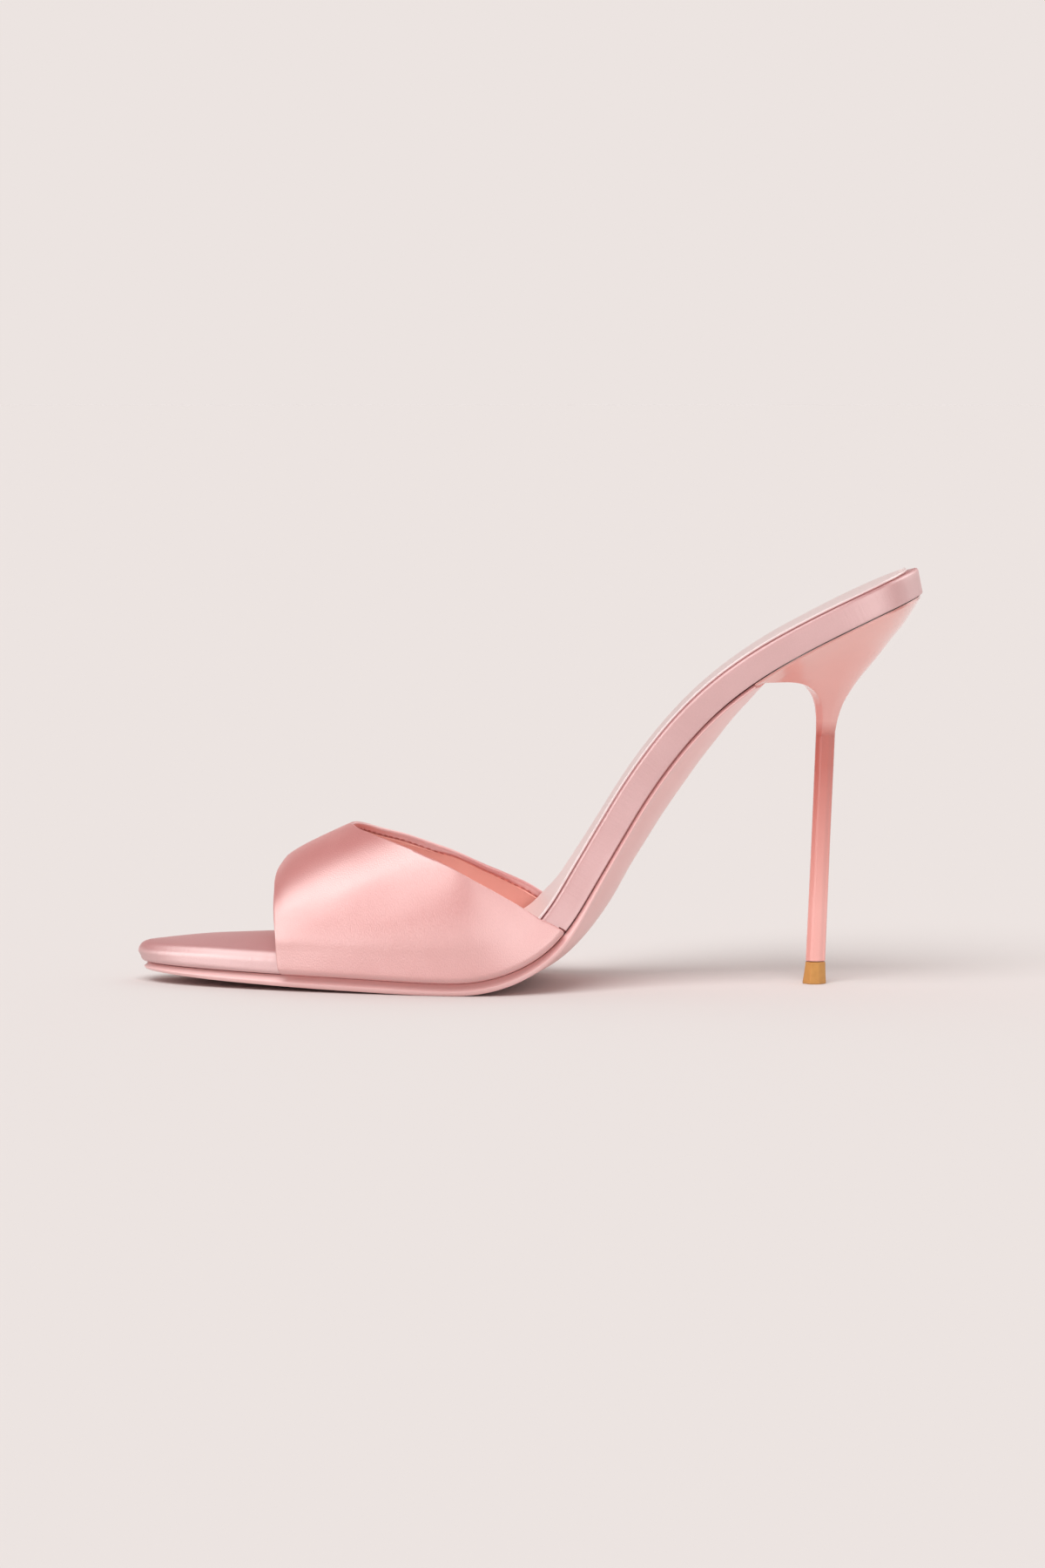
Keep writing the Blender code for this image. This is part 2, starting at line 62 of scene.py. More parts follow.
def smooth(rows, column, at, key="s"):
    """A column of a table at a station, on a cubic through its rows that never overshoots them."""
    xs, ys = rows[key], rows[column]
    at = min(max(at, xs[0]), xs[-1])
    i = max(k for k in range(len(xs) - 1) if xs[k] <= at)

    def chord(k):
        return (ys[k + 1] - ys[k]) / (xs[k + 1] - xs[k])

    def slope(k):
        if k == 0:
            return chord(0)
        if k == len(xs) - 1:
            return chord(k - 1)
        before, after = chord(k - 1), chord(k)
        return 0.0 if before * after <= 0 else 2 * before * after / (before + after)

    step = xs[i + 1] - xs[i]
    t = (at - xs[i]) / step
    return (
        ys[i] * (1 + 2 * t) * (1 - t) ** 2
        + ys[i + 1] * (3 - 2 * t) * t**2
        + step * t * (1 - t) * (slope(i) * (1 - t) - slope(i + 1) * t)
    )


def bezier(a, b, c, d, t):
    """A point of the cubic curve from a to d with handles b and c."""
    return tuple(
        p * (1 - t) ** 3 + 3 * q * (1 - t) ** 2 * t + 3 * r * (1 - t) * t**2 + u * t**3
        for p, q, r, u in zip(a, b, c, d)
    )


# %% [markdown]
# ## Sole coordinates
# Shoemakers work along the feather line, the sharp edge where the upper meets the sole. Here s runs
# along it from the toe's tip, y runs across, and h stands at right angles to it. The pitch table, added
# up, gives the line as seen from the side, so a piece made in (s, y, h) follows the arch by itself. A
# tall wall would run into itself if it followed each bend, so above the side it rises along the lean,
# which is the pitch evened out over the stations near by.

# %% The feather line and the sole's outline, in millimetres
FOOTBED_LENGTH = 257.6
TOE_SWING = 4.0
TOE_POINT = {"outer": 1.22, "inner": 1.08}
BALL = {"outer": 95.0, "inner": 80.0}
BALL_EASE, EASED_FROM, EASED_TO = 10.0, 60.0, 130.0
SEAT_ROUND, SEAT_FULLNESS = 232.0, 2.3
TOE_LEAN, BACK_LEAN = 0.7, 1.2
GAP = 0.3
TREAD_FLAT, TREAD_STATION = 0.12, 85.0
LEAN_REACH, STATIONS_PER_MM = 22, 2
CENTRING = (0.45, 0.7)
SIDES = {"outer": -1.0, "inner": 1.0}

SOLE = table(
    "s pitch outer inner edge arch cup camber",
    (0.0, -1.2, 37.5, 36.0, 5.6, 0.0, 0.0, 0.0),
    (22.0, -1.2, 37.5, 36.0, 6.5, 0.0, -1.5, 0.0),
    (50.0, -1.4, 37.5, 36.0, 6.6, 0.0, -2.6, 0.0),
    (72.0, -2.2, 37.5, 36.0, 6.8, 0.0, -0.9, 0.0),
    (85.0, 0.0, 37.5, 35.8, 6.9, 0.0, 0.0, 0.0),
    (98.0, 14.0, 37.3, 33.5, 7.0, 0.6, 0.8, 0.0),
    (110.0, 31.0, 34.5, 28.8, 7.0, 1.4, 1.6, 0.3),
    (121.0, 51.0, 30.5, 24.6, 7.0, 1.5, 2.2, 1.0),
    (132.0, 59.5, 26.8, 21.2, 7.0, 0.5, 2.8, 1.8),
    (152.0, 59.5, 22.0, 18.2, 7.0, 0.0, 3.4, 2.6),
    (168.0, 55.2, 21.0, 18.2, 7.0, -0.2, 3.5, 2.8),
    (184.0, 48.1, 21.4, 19.6, 7.0, -0.5, 3.5, 2.2),
    (204.0, 35.8, 23.0, 22.2, 7.0, -0.7, 3.2, 0.3),
    (222.0, 28.2, 24.6, 24.4, 7.0, -0.7, 2.8, 0.0),
    (257.6, 23.0, 25.0, 25.0, 7.0, -0.2, 2.0, 0.0),
)
OUTSOLE = table(
    "s edge centre inset",
    (0.0, 1.9, 1.9, 1.0),
    (25.0, 2.8, 2.9, 0.8),
    (60.0, 3.3, 3.3, 0.7),
    (98.0, 3.2, 3.5, 0.7),
    (115.0, 2.6, 4.5, 0.6),
    (132.0, 1.6, 4.4, 0.5),
    (147.0, 1.3, 3.6, 0.5),
    (186.0, 1.3, 3.7, 0.5),
    (200.0, 1.3, 3.4, 0.5),
    (208.2, 1.2, 1.9, 0.5),
)


def feather_line():
    """Stations each half millimetre, with x, z, pitch and lean: the pitch table made into a curve."""
    s = np.linspace(0.0, FOOTBED_LENGTH, int(FOOTBED_LENGTH * STATIONS_PER_MM) + 1)
    pitch = np.radians([smooth(SOLE, "pitch", at) for at in s])
    middle = (pitch[1:] + pitch[:-1]) / 2
    x = np.concatenate([[0.0], np.cumsum(np.cos(middle) * np.diff(s))])
    z = np.concatenate([[0.0], np.cumsum(np.sin(middle) * np.diff(s))])
    x -= (x[0] + x[-1]) / 2
    z += GAP + smooth(OUTSOLE, "edge", TREAD_STATION) - TREAD_FLAT - z.min()
    reach = LEAN_REACH * STATIONS_PER_MM
    window = np.ones(2 * reach + 1) / (2 * reach + 1)
    lean = np.convolve(np.pad(pitch, reach, mode="edge"), window, mode="valid")
    return s, x, z, pitch, lean


FEATHER = feather_line()


def place(x, y, z):
    """The point in metres, with the whole shoe centred."""
    return Vector((x + CENTRING[0], y + CENTRING[1], z)) * MM


def on_sole(s, y, h, rise=0.0):
    """The point with these sole coordinates, in metres, and rise above it along the lean."""
    stations, *columns = FEATHER
    beyond = s - min(max(s, 0.0), FOOTBED_LENGTH)
    x, z, pitch, lean = (float(np.interp(s, stations, values)) for values in columns)
    x += beyond * math.cos(pitch) - h * math.sin(pitch) - rise * math.sin(lean)
    z += beyond * math.sin(pitch) + h * math.cos(pitch) + rise * math.cos(lean)
    return place(x, y, z)


def centre(s):
    """The middle of the sole, which swings to the inner side at the toe."""
    return TOE_SWING * max(0.0, 1 - s / BALL["outer"]) ** 2


def edge_width(side, s):
    """From the middle to the edge, pointed at the toe and round at the heel."""
    width = smooth(SOLE, side, s)
    if s < BALL[side]:
        width *= math.sqrt(1 - (1 - s / BALL[side]) ** TOE_POINT[side])
    if s > SEAT_ROUND:
        along = min(1.0, (s - SEAT_ROUND) / (FOOTBED_LENGTH - SEAT_ROUND))
        width *= (1 - along**SEAT_FULLNESS) ** (1 / SEAT_FULLNESS)
    return width


def half_width(side, s):
    """The width, evened out round the ball, so that no crease shows where the toe's curve ends."""
    ease = min(BALL_EASE, 0.5 * (s - EASED_FROM), 0.5 * (EASED_TO - s))
    if ease <= 0:
        return edge_width(side, s)
    return sum(edge_width(side, s + ease * k / 3) for k in range(-3, 4)) / 7


def outline(side, s):
    """The outline's point (s, y). Past either end it goes on round, down the other side."""
    other = {"outer": "inner", "inner": "outer"}[side]
    if s < 0:
        return outline(other, -s)
    if s > FOOTBED_LENGTH:
        return outline(other, 2 * FOOTBED_LENGTH - s)
    return s, centre(s) + SIDES[side] * half_width(side, s)


def inset_point(side, s, inset):
    """The outline's point at s, moved in at right angles to the outline."""
    reach = 0.05
    s0, y0 = outline(side, s - reach)
    s1, y1 = outline(side, s + reach)
    length = math.hypot(s1 - s0, y1 - y0)
    at_s, at_y = outline(side, s)
    turn = SIDES[side]
    return at_s + turn * (y1 - y0) / length * inset, at_y - turn * (s1 - s0) / length * inset


def dish(s, y):
    """0 on the sole's edges and 1 in the middle, as a parabola across."""
    low, high = outline("outer", s)[1], outline("inner", s)[1]
    share = min(1.0, max(0.0, (y - low) / (high - low))) if high - low > 1.0 else 0.0
    return 4 * share * (1 - share)


def underside(s, y):
    """Height of the footbed's underside, which is 0 on the feather line."""
    return -smooth(SOLE, "camber", s) * dish(s, y)


toe, tail = on_sole(0, 0, 0), on_sole(FOOTBED_LENGTH, 0, 0)
print("feather line from x", round(toe.x / MM, 1), "to", round(tail.x / MM, 1), "mm")

# %% [markdown]
# ## Skins
# Footbed, sock, sole, band and heel are all skins over a row of closed rings, like the ribs of a boat.
# bmesh makes a plane grid, and its corners move to the rings' points. A UV map is laid down in metres
# at the same time, along s and round the girth, so that a weave can follow the cloth.

# %% Skins over rings
UV_NAME = "cloth"
WELD_DISTANCE = 0.002


def sheet(rows):
    """A bmesh grid with its corners moved to rows of (point, (u, v))."""
    bm = bmesh.new()
    layer = bm.loops.layers.uv.new(UV_NAME)
    columns, count = len(rows[0]) - 1, len(rows) - 1
    bmesh.ops.create_grid(bm, x_segments=columns, y_segments=count, size=0.5)
    places = {
        vertex: (round((vertex.co.y + 0.5) * count), round((vertex.co.x + 0.5) * columns))
        for vertex in bm.verts
    }
    for face in bm.faces:
        for loop in face.loops:
            row, column = places[loop.vert]
            loop[layer].uv = rows[row][column][1]
    for vertex, (row, column) in places.items():
        vertex.co = rows[row][column][0]
    return bm


def weld(bm):
    bmesh.ops.remove_doubles(bm, verts=bm.verts, dist=WELD_DISTANCE * MM)


def with_uv(points, along, start=0):
    """A ring's points with UVs: along for u, and for v the way round from point number start."""
    closed = points + points[:1]
    steps = [0.0] + [(b - a).length for a, b in zip(closed, closed[1:])]
    round_it = np.cumsum(steps) - sum(steps[: start + 1])
    return [(point, (along * MM, v)) for point, v in zip(closed, round_it)]


def skin(rings):
    """A closed body through rings of (point, uv), each ending on its first point again."""
    bm = sheet(rings)
    weld(bm)
    open_edges = [edge for edge in bm.edges if edge.is_boundary]
    if open_edges:
        filled = bmesh.ops.holes_fill(bm, edges=open_edges, sides=0)["faces"]
        bmesh.ops.triangulate(bm, faces=filled)
    bmesh.ops.recalc_face_normals(bm, faces=bm.faces)
    if bm.calc_volume(signed=True) < 0:
        bmesh.ops.reverse_faces(bm, faces=bm.faces)
    return bm


def put(name, data):
    """A new object with this mesh, lamp or camera, in the scene."""
    obj = bpy.data.objects.new(name, data)
    bpy.context.scene.collection.objects.link(obj)
    return obj


def finish_piece(bm, name, node, surface, sharp_degrees=40.0):
    """Makes the bmesh an object that rides on the body and stands for its CAD node."""
    mesh = bpy.data.meshes.new(name)
    bm.to_mesh(mesh)
    bm.free()
    mesh.shade_smooth()
    mesh.set_sharp_from_angle(angle=math.radians(sharp_degrees))
    mesh.materials.append(surface)
    piece = put(name, mesh)
    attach(piece, "root")
    if node:
        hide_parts(node)
    mesh.calc_loop_triangles()
    print(f"{name}: {len(mesh.loop_triangles)} triangles")
    return piece


def across(low, high, count):
    """count points between two points, without either."""
    steps = range(1, count + 1)
    return [tuple(p + (q - p) * k / (count + 1) for p, q in zip(low, high)) for k in steps]


# %% [markdown]
# The stations lie about 1.2 mm apart, and closer in the round toe and seat, where they follow a square
# so that the outline keeps its curve right into the tip. The band's lasting margin turns under into a
# rebate, and the footbed steps up there.

# %% Stations along the sole
NOSE, SEAT = 33.0, 21.0
NOSE_STEPS, SEAT_STEPS = 36, 30
SPACING, NEAREST, NEAREST_END = 1.2, 0.25, 0.02
UPPER_FRONT, UPPER_TAIL = 40.8, 121.4
REBATE = (UPPER_FRONT - GAP, UPPER_TAIL + 0.15)
OUTSOLE_END = 205.2


def stations(first, last):
    """Where the rings stand from first to last, with one at each step in the sole."""
    grid = [NOSE * (k / NOSE_STEPS) ** 2 for k in range(NOSE_STEPS + 1)]
    grid += list(np.arange(NOSE + SPACING, FOOTBED_LENGTH - SEAT, SPACING))
    grid += [FOOTBED_LENGTH - SEAT * (k / SEAT_STEPS) ** 2 for k in range(SEAT_STEPS, -1, -1)]
    steps = [REBATE[0] - GAP, REBATE[0], REBATE[1], REBATE[1] + GAP, OUTSOLE_END]
    grid = [s for s in grid if min(abs(s - step) for step in steps) > NEAREST] + steps
    inside = [float(s) for s in sorted(grid) if first + NEAREST_END < s < last - NEAREST_END]
    return [first] + inside + [last]


print("stations:", len(stations(0.0, FOOTBED_LENGTH)))

# %% [markdown]
# ## Materials
# A finish is named for what it is. Colours are sRGB hex values turned to linear, and pattern scales
# are worked out from millimetres. One small function adds a node with its settings and its links.

# %% Colour and node helpers
# The Mix node's colour sockets, which share their names with others.
MIX_FROM, MIX_TO, MIX_OUT = 6, 7, 2
# Most of a noise's values lie between these.
NOISE_LOW, NOISE_HIGH = 0.3, 0.7


def linear(code, alpha=1.0):
    """A colour such as E8A09C, from sRGB to the linear values that Blender's sockets take."""
    values = [int(code[i : i + 2], 16) / 255 for i in (0, 2, 4)]
    return [v / 12.92 if v <= 0.04045 else ((v + 0.055) / 1.055) ** 2.4 for v in values] + [alpha]


def add(tree, kind, sockets=None, **settings):
    """Adds a node. A socket's value is a number or colour, or (node, output name) to link it."""
    node = tree.nodes.new(kind)
    for name, value in settings.items():
        setattr(node, name, value)
    for socket, value in (sockets or {}).items():
        if isinstance(value, tuple) and isinstance(value[0], bpy.types.Node):
            tree.links.new(value[0].outputs[value[1]], node.inputs[socket])
        else:
            node.inputs[socket].default_value = value
    return node


def new_material(name, **constants):
    """An empty material with its Principled shader, and constants set straight on its sockets."""
    made = bpy.data.materials.new(name)
    made.use_nodes = True
    tree = made.node_tree
    shader = tree.nodes["Principled BSDF"]
    for socket, value in constants.items():
        shader.inputs[socket.replace("_", " ")].default_value = value
    return made, tree, shader


def per_mm(size):
    """A texture's scale so that its cells are about this many millimetres, in metre coordinates."""
    return 1.0 / (size * MM)


# %% [markdown]
# Duchesse satin is polyester woven so that long shiny floats lie side by side and the short ties
# hardly show. The floats mirror light along one direction, which gives broad soft highlights, deep
# colour where no light falls in, and a fine sparkle. So: an anisotropic Principled shader whose tangent
# follows the cloth's UV map, a fine grain in the bump for the floats, and a little sheen. The real
# threads are 0.1 mm apart, and they are drawn about three times coarser so that they show. The
# footbed's wrap is pulled round a curved edge: its gloss has no one direction, and fine slant drag
# lines stay in it.

# %% Satin
FLOAT_LENGTH, FLOAT_WIDTH = 0.5, 0.32
CLOUD_SIZE = 16.0
DRAG_WIDTH, DRAG_LENGTH, DRAG_SLANT = 0.9, 7.0, -35
# Most sums of two noises lie between these.
SUM_LOW, SUM_HIGH = 0.7, 1.3
GLOSS_SPREAD = 0.04


def satin(name, colour, deep, wrinkles=0.0, grain=0.02, roughness=0.32, stretch=0.4, sheen=0.2):
    made, tree, shader = new_material(
        name, Anisotropic=stretch, Anisotropic_Rotation=0.0, IOR=2.5, Specular_IOR_Level=1.0,
        Sheen_Weight=sheen, Sheen_Roughness=0.4, Sheen_Tint=linear("FFF1EE"),
    )
    uv = add(tree, "ShaderNodeUVMap", uv_map=UV_NAME)
    tangent = add(tree, "ShaderNodeTangent", direction_type="UV_MAP", uv_map=UV_NAME)
    floats = add(tree, "ShaderNodeMapping", {
        "Vector": (uv, "UV"), "Scale": (per_mm(FLOAT_WIDTH), per_mm(FLOAT_LENGTH), 1.0)})
    thread = add(tree, "ShaderNodeTexNoise", {
        "Vector": (floats, "Vector"), "Scale": 1.0, "Detail": 1.0, "Roughness": 0.5})
    place_of = add(tree, "ShaderNodeTexCoord")
    cloud = add(tree, "ShaderNodeTexNoise", {
        "Vector": (place_of, "Object"), "Scale": per_mm(CLOUD_SIZE), "Detail": 2.0, "Roughness": 0.5})
    blend = add(tree, "ShaderNodeMath", {0: (thread, "Fac"), 1: (cloud, "Fac")}, operation="ADD")
    tone = add(tree, "ShaderNodeMapRange", {
        "Value": (blend, "Value"), "From Min": SUM_LOW, "From Max": SUM_HIGH,
        "To Min": 0.0, "To Max": 1.0})
    mix = add(tree, "ShaderNodeMix", {
        "Factor": (tone, "Result"), MIX_FROM: linear(deep), MIX_TO: linear(colour)},
        data_type="RGBA")
    tree.links.new(mix.outputs[MIX_OUT], shader.inputs["Base Color"])
    gloss = add(tree, "ShaderNodeMapRange", {
        "Value": (thread, "Fac"), "From Min": NOISE_LOW, "From Max": NOISE_HIGH,
        "To Min": roughness - GLOSS_SPREAD, "To Max": roughness + GLOSS_SPREAD})
    tree.links.new(gloss.outputs["Result"], shader.inputs["Roughness"])
    tree.links.new(tangent.outputs["Tangent"], shader.inputs["Tangent"])
    bump = add(tree, "ShaderNodeBump", {
        "Height": (thread, "Fac"), "Strength": 1.0, "Distance": grain * MM})
    if wrinkles:
        slant = add(tree, "ShaderNodeMapping", {
            "Vector": (uv, "UV"), "Rotation": (0.0, 0.0, math.radians(DRAG_SLANT)),
            "Scale": (per_mm(DRAG_WIDTH), per_mm(DRAG_LENGTH), 1.0)})
        pull = add(tree, "ShaderNodeTexNoise", {
            "Vector": (slant, "Vector"), "Scale": 1.0, "Detail": 1.0, "Roughness": 0.4})
        bump = add(tree, "ShaderNodeBump", {
            "Height": (pull, "Fac"), "Strength": 1.0, "Distance": wrinkles * MM,
            "Normal": (bump, "Normal")})
    tree.links.new(bump.outputs["Normal"], shader.inputs["Normal"])
    return made


band_satin = satin("duchesse_satin_band", "DE8F8B", "D27975", grain=0.055, roughness=0.36)
footbed_satin = satin(
    "duchesse_satin_footbed", "CC8B8B", "C27C7B", wrinkles=0.06, roughness=0.42, stretch=0.0)
sock_satin = satin("duchesse_satin_sock", "ECD6D4", "E8D0CD", grain=0.02, roughness=0.42, sheen=0.5)
print("satins:", band_satin.name, footbed_satin.name, sock_satin.name)

# %% [markdown]
# The lining is thin kid leather, dyed through: fine pores, a soft gloss and a paler colour than the
# satin. The outsole is smooth cow leather under an edge dye, harder and a bit glossier. The heel is a
# moulded core sprayed with coloured lacquer under a clear, nearly smooth coat. Its colour is even, but
# for a painted shade that starts at the stem's top and thins out below: it stands for the shade under
# the flare and the dark that the gloss mirrors there. That shade is painted in by height and not lit,
# so it is there from every side. The top piece is cast polyurethane rubber, matt and slightly mottled.

# %% Leathers, lacquer and rubber
GRAIN_SIZE, PORE_DEPTH = 7.0, 0.05
SPRAY_SIZE, RIPPLE_SIZE, RIPPLE_DEPTH = 20.0, 2.4, 0.002
MOTTLE_SIZE, MOTTLE_DEPTH = 1.6, 0.05
# The painted shade on the stem, darker at its top, by height in millimetres. It sets in between the
# first two heights, and between the last two it thins out to a small share of itself.
STEM_PAINTED_SHADE, LEAST_PAINTED_SHADE = "D06A5C", 0.1
SHADE_STARTS, SHADE_FULL, SHADE_THINS, SHADE_ENDS = 72.0, 68.0, 60.0, 20.0


def leather(name, colour, deep, roughness, pore, strength, coat=0.0):
    made, tree, shader = new_material(
        name, IOR=1.5, Coat_Weight=coat, Coat_Roughness=0.25, Sheen_Weight=0.05)
    place_of = add(tree, "ShaderNodeTexCoord")
    cells = add(tree, "ShaderNodeTexVoronoi", {
        "Vector": (place_of, "Object"), "Scale": per_mm(pore), "Randomness": 1.0},
        feature="SMOOTH_F1")
    cloud = add(tree, "ShaderNodeTexNoise", {
        "Vector": (place_of, "Object"), "Scale": per_mm(GRAIN_SIZE), "Detail": 4.0, "Roughness": 0.6})
    mix = add(tree, "ShaderNodeMix", {
        "Factor": (cloud, "Fac"), MIX_FROM: linear(deep), MIX_TO: linear(colour)}, data_type="RGBA")
    tree.links.new(mix.outputs[MIX_OUT], shader.inputs["Base Color"])
    gloss = add(tree, "ShaderNodeMapRange", {
        "Value": (cloud, "Fac"), "From Min": NOISE_LOW, "From Max": NOISE_HIGH,
        "To Min": roughness - 0.04, "To Max": roughness + 0.05})
    tree.links.new(gloss.outputs["Result"], shader.inputs["Roughness"])
    bump = add(tree, "ShaderNodeBump", {
        "Height": (cells, "Distance"), "Strength": strength, "Distance": PORE_DEPTH * MM})
    tree.links.new(bump.outputs["Normal"], shader.inputs["Normal"])
    return made


lining_kid = leather("kid_lining", "F3B2A4", "EEA99B", 0.46, 0.5, 0.25)
sole_leather = leather("dyed_sole_leather", "FFD4D2", "FCCDCA", 0.34, 0.45, 0.12, coat=0.15)


def lacquer(name, colour, deep):
    made, tree, shader = new_material(
        name, IOR=1.8, Coat_Weight=1.0, Coat_Roughness=0.1, Coat_IOR=1.5)
    place_of = add(tree, "ShaderNodeTexCoord")
    ripple = add(tree, "ShaderNodeTexNoise", {
        "Vector": (place_of, "Object"), "Scale": per_mm(RIPPLE_SIZE), "Detail": 2.0, "Roughness": 0.5})
    cloud = add(tree, "ShaderNodeTexNoise", {
        "Vector": (place_of, "Object"), "Scale": per_mm(SPRAY_SIZE), "Detail": 1.0})
    mix = add(tree, "ShaderNodeMix", {
        "Factor": (cloud, "Fac"), MIX_FROM: linear(deep), MIX_TO: linear(colour)}, data_type="RGBA")
    # Painted shade: a darker colour from the stem's top down, by height, for the shade under the flare
    # and the dark that the gloss mirrors there.
    height = add(tree, "ShaderNodeSeparateXYZ", {"Vector": (place_of, "Object")})
    below = add(tree, "ShaderNodeMapRange", {
        "Value": (height, "Z"), "From Min": SHADE_STARTS * MM, "From Max": SHADE_FULL * MM,
        "To Min": 0.0, "To Max": 1.0})
    thins = add(tree, "ShaderNodeMapRange", {
        "Value": (height, "Z"), "From Min": SHADE_ENDS * MM, "From Max": SHADE_THINS * MM,
        "To Min": LEAST_PAINTED_SHADE, "To Max": 1.0})
    painted_shade_share = add(tree, "ShaderNodeMath", {
        0: (below, "Result"), 1: (thins, "Result")}, operation="MULTIPLY")
    painted_shade_colour = add(tree, "ShaderNodeMix", {
        "Factor": (painted_shade_share, "Value"), MIX_FROM: (mix, MIX_OUT), MIX_TO: linear(STEM_PAINTED_SHADE)},
        data_type="RGBA")
    tree.links.new(painted_shade_colour.outputs[MIX_OUT], shader.inputs["Base Color"])
    gloss = add(tree, "ShaderNodeMapRange", {
        "Value": (ripple, "Fac"), "From Min": NOISE_LOW, "From Max": NOISE_HIGH,
        "To Min": 0.22, "To Max": 0.25})
    tree.links.new(gloss.outputs["Result"], shader.inputs["Roughness"])
    bump = add(tree, "ShaderNodeBump", {
        "Height": (ripple, "Fac"), "Strength": 1.0, "Distance": RIPPLE_DEPTH * MM})
    tree.links.new(bump.outputs["Normal"], shader.inputs["Normal"])
    return made


# The lacquer's own colour, with a painted shade at the stem's top.
heel_lacquer_and_painted_shade = lacquer("sprayed_lacquer_and_painted_shade", "FFBDB5", "FCB4AB")


def rubber(name, colour, deep):
    made, tree, shader = new_material(name, IOR=1.5)
    place_of = add(tree, "ShaderNodeTexCoord")
    mottle = add(tree, "ShaderNodeTexNoise", {
        "Vector": (place_of, "Object"), "Scale": per_mm(MOTTLE_SIZE), "Detail": 3.0, "Roughness": 0.6})
    mix = add(tree, "ShaderNodeMix", {
        "Factor": (mottle, "Fac"), MIX_FROM: linear(deep), MIX_TO: linear(colour)}, data_type="RGBA")
    tree.links.new(mix.outputs[MIX_OUT], shader.inputs["Base Color"])
    gloss = add(tree, "ShaderNodeMapRange", {
        "Value": (mottle, "Fac"), "From Min": NOISE_LOW, "From Max": NOISE_HIGH,
        "To Min": 0.4, "To Max": 0.55})
    tree.links.new(gloss.outputs["Result"], shader.inputs["Roughness"])
    bump = add(tree, "ShaderNodeBump", {
        "Height": (mottle, "Fac"), "Strength": 0.2, "Distance": MOTTLE_DEPTH * MM})
    tree.links.new(bump.outputs["Normal"], shader.inputs["Normal"])
    return made


top_piece_rubber = rubber("cast_polyurethane", "D59D58", "C38A48")
print("materials:", len(bpy.data.materials))

# %% [markdown]
# ## The footbed
# An insole board 7 mm thick is wrapped in satin, which shows on the side and round the toe. Its top
# corner is soft over the toe and crisper in the waist. A bevel would give one radius only, so the
# section itself is worked out: a foot radius, an upright side that leans out at toe and back, and a
# top radius that changes along the shoe. Between the corners the top is crowned or hollowed.

# %% Footbed
WALL, MARGIN = 1.6, 9.0
TOP_ROUND = table("s radius", (0.0, 3.0), (45.0, 3.4), (100.0, 2.0), (125.0, 1.1), (257.6, 0.9))
FOOT_ROUND = table("s radius", (0.0, 1.4), (30.0, 1.0), (60.0, 0.6), (120.0, 0.4), (257.6, 0.35))
FOOT_STEPS, TOP_STEPS, SIDE_STEPS = 4, 8, 3
DEEPEST_STEP, TOE_LEAN_REACH = 0.45, 15.0


def footbed_side(side, s):
    """One side's points (s, y, h), from the step of the rebate round to the top's edge."""
    rebated = REBATE[0] <= s <= REBATE[1]
    base = WALL + GAP if rebated else 0.0
    foot, top = smooth(FOOT_ROUND, "radius", s), smooth(TOP_ROUND, "radius", s)
    step = max(foot, min(MARGIN + GAP, DEEPEST_STEP * half_width(side, s)))
    height = smooth(SOLE, "edge", s) + (smooth(SOLE, "arch", s) if side == "inner" else 0.0)
    lean = BACK_LEAN * max(0.0, (s - SEAT_ROUND) / (FOOTBED_LENGTH - SEAT_ROUND)) ** 2
    lean += TOE_LEAN * max(0.0, 1 - s / TOE_LEAN_REACH) ** 2
    profile = []
    for k in range(FOOT_STEPS + 1):
        a = math.pi / 2 * k / FOOT_STEPS
        profile.append((foot * (1 - math.sin(a)), base + foot * (1 - math.cos(a))))
    low, high = (0.0, base + foot), (-lean, height - top)
    profile += across(low, high, SIDE_STEPS)
    for k in range(TOP_STEPS + 1):
        a = math.pi / 2 * k / TOP_STEPS
        profile.append((top * (1 - math.cos(a)) - lean, height - top * (1 - math.sin(a))))
    points = []
    for inset, rise in ((step + (GAP if step > foot else 0.0), 0.0), (step, base)):
        at, y = inset_point(side, s, inset)
        points.append((at, y, underside(at, y) + rise))
    return points + [(*inset_point(side, s, inset), rise) for inset, rise in profile]


def topside(s, y, low, high):
    """The top's height between its two rounded edges, hollowed by the cup."""
    share = (y - low[1]) / (high[1] - low[1]) if high[1] - low[1] > 0.01 else 0.0
    return low[2] + (high[2] - low[2]) * share - smooth(SOLE, "cup", s) * 4 * share * (1 - share)


TOP_COUNT, BOTTOM_COUNT = 21, 9


def ring_between(s, outer, inner, top_at, bottom_at, bottom_count):
    """A ring round two sides' points. Between them, two functions of (s, y) give the heights."""
    over, under = across(outer[-1], inner[-1], TOP_COUNT), across(inner[0], outer[0], bottom_count)
    top = [(at, y, top_at(at, y)) for at, y, _ in over]
    bottom = [(at, y, bottom_at(at, y)) for at, y, _ in under]
    points = [on_sole(*p) for p in outer + top + inner[::-1] + bottom]
    return with_uv(points, s, len(outer) + TOP_COUNT // 2)


def footbed_ring(s):
    outer, inner = footbed_side("outer", s), footbed_side("inner", s)
    return ring_between(
        s, outer, inner, lambda at, y: topside(at, y, outer[-1], inner[-1]), underside, BOTTOM_COUNT)


finish_piece(
    skin([footbed_ring(s) for s in stations(0.0, FOOTBED_LENGTH)]),
    "footbed_wrap", "footbed", footbed_satin)

# %% [markdown]
# ## The sock
# A thin foam sock lies on the footbed, 1.7 mm in from its edge. Its cover is turned over the foam, so
# it has a rounded rim that stands 0.9 mm up, with a shadow line beside it.

# %% Sock
SOCK_THICKNESS, SOCK_INSET, SOCK_FRONT = 0.9, 1.7, 50.0
# The rim's foot, as points (how far in, how high up), and how much of its height is rounded.
RIM_FOOT = ((0.4, 0.0), (0.08, 0.1), (0.0, 0.25))
RIM_ROUND, RIM_STEPS = 0.6, 6


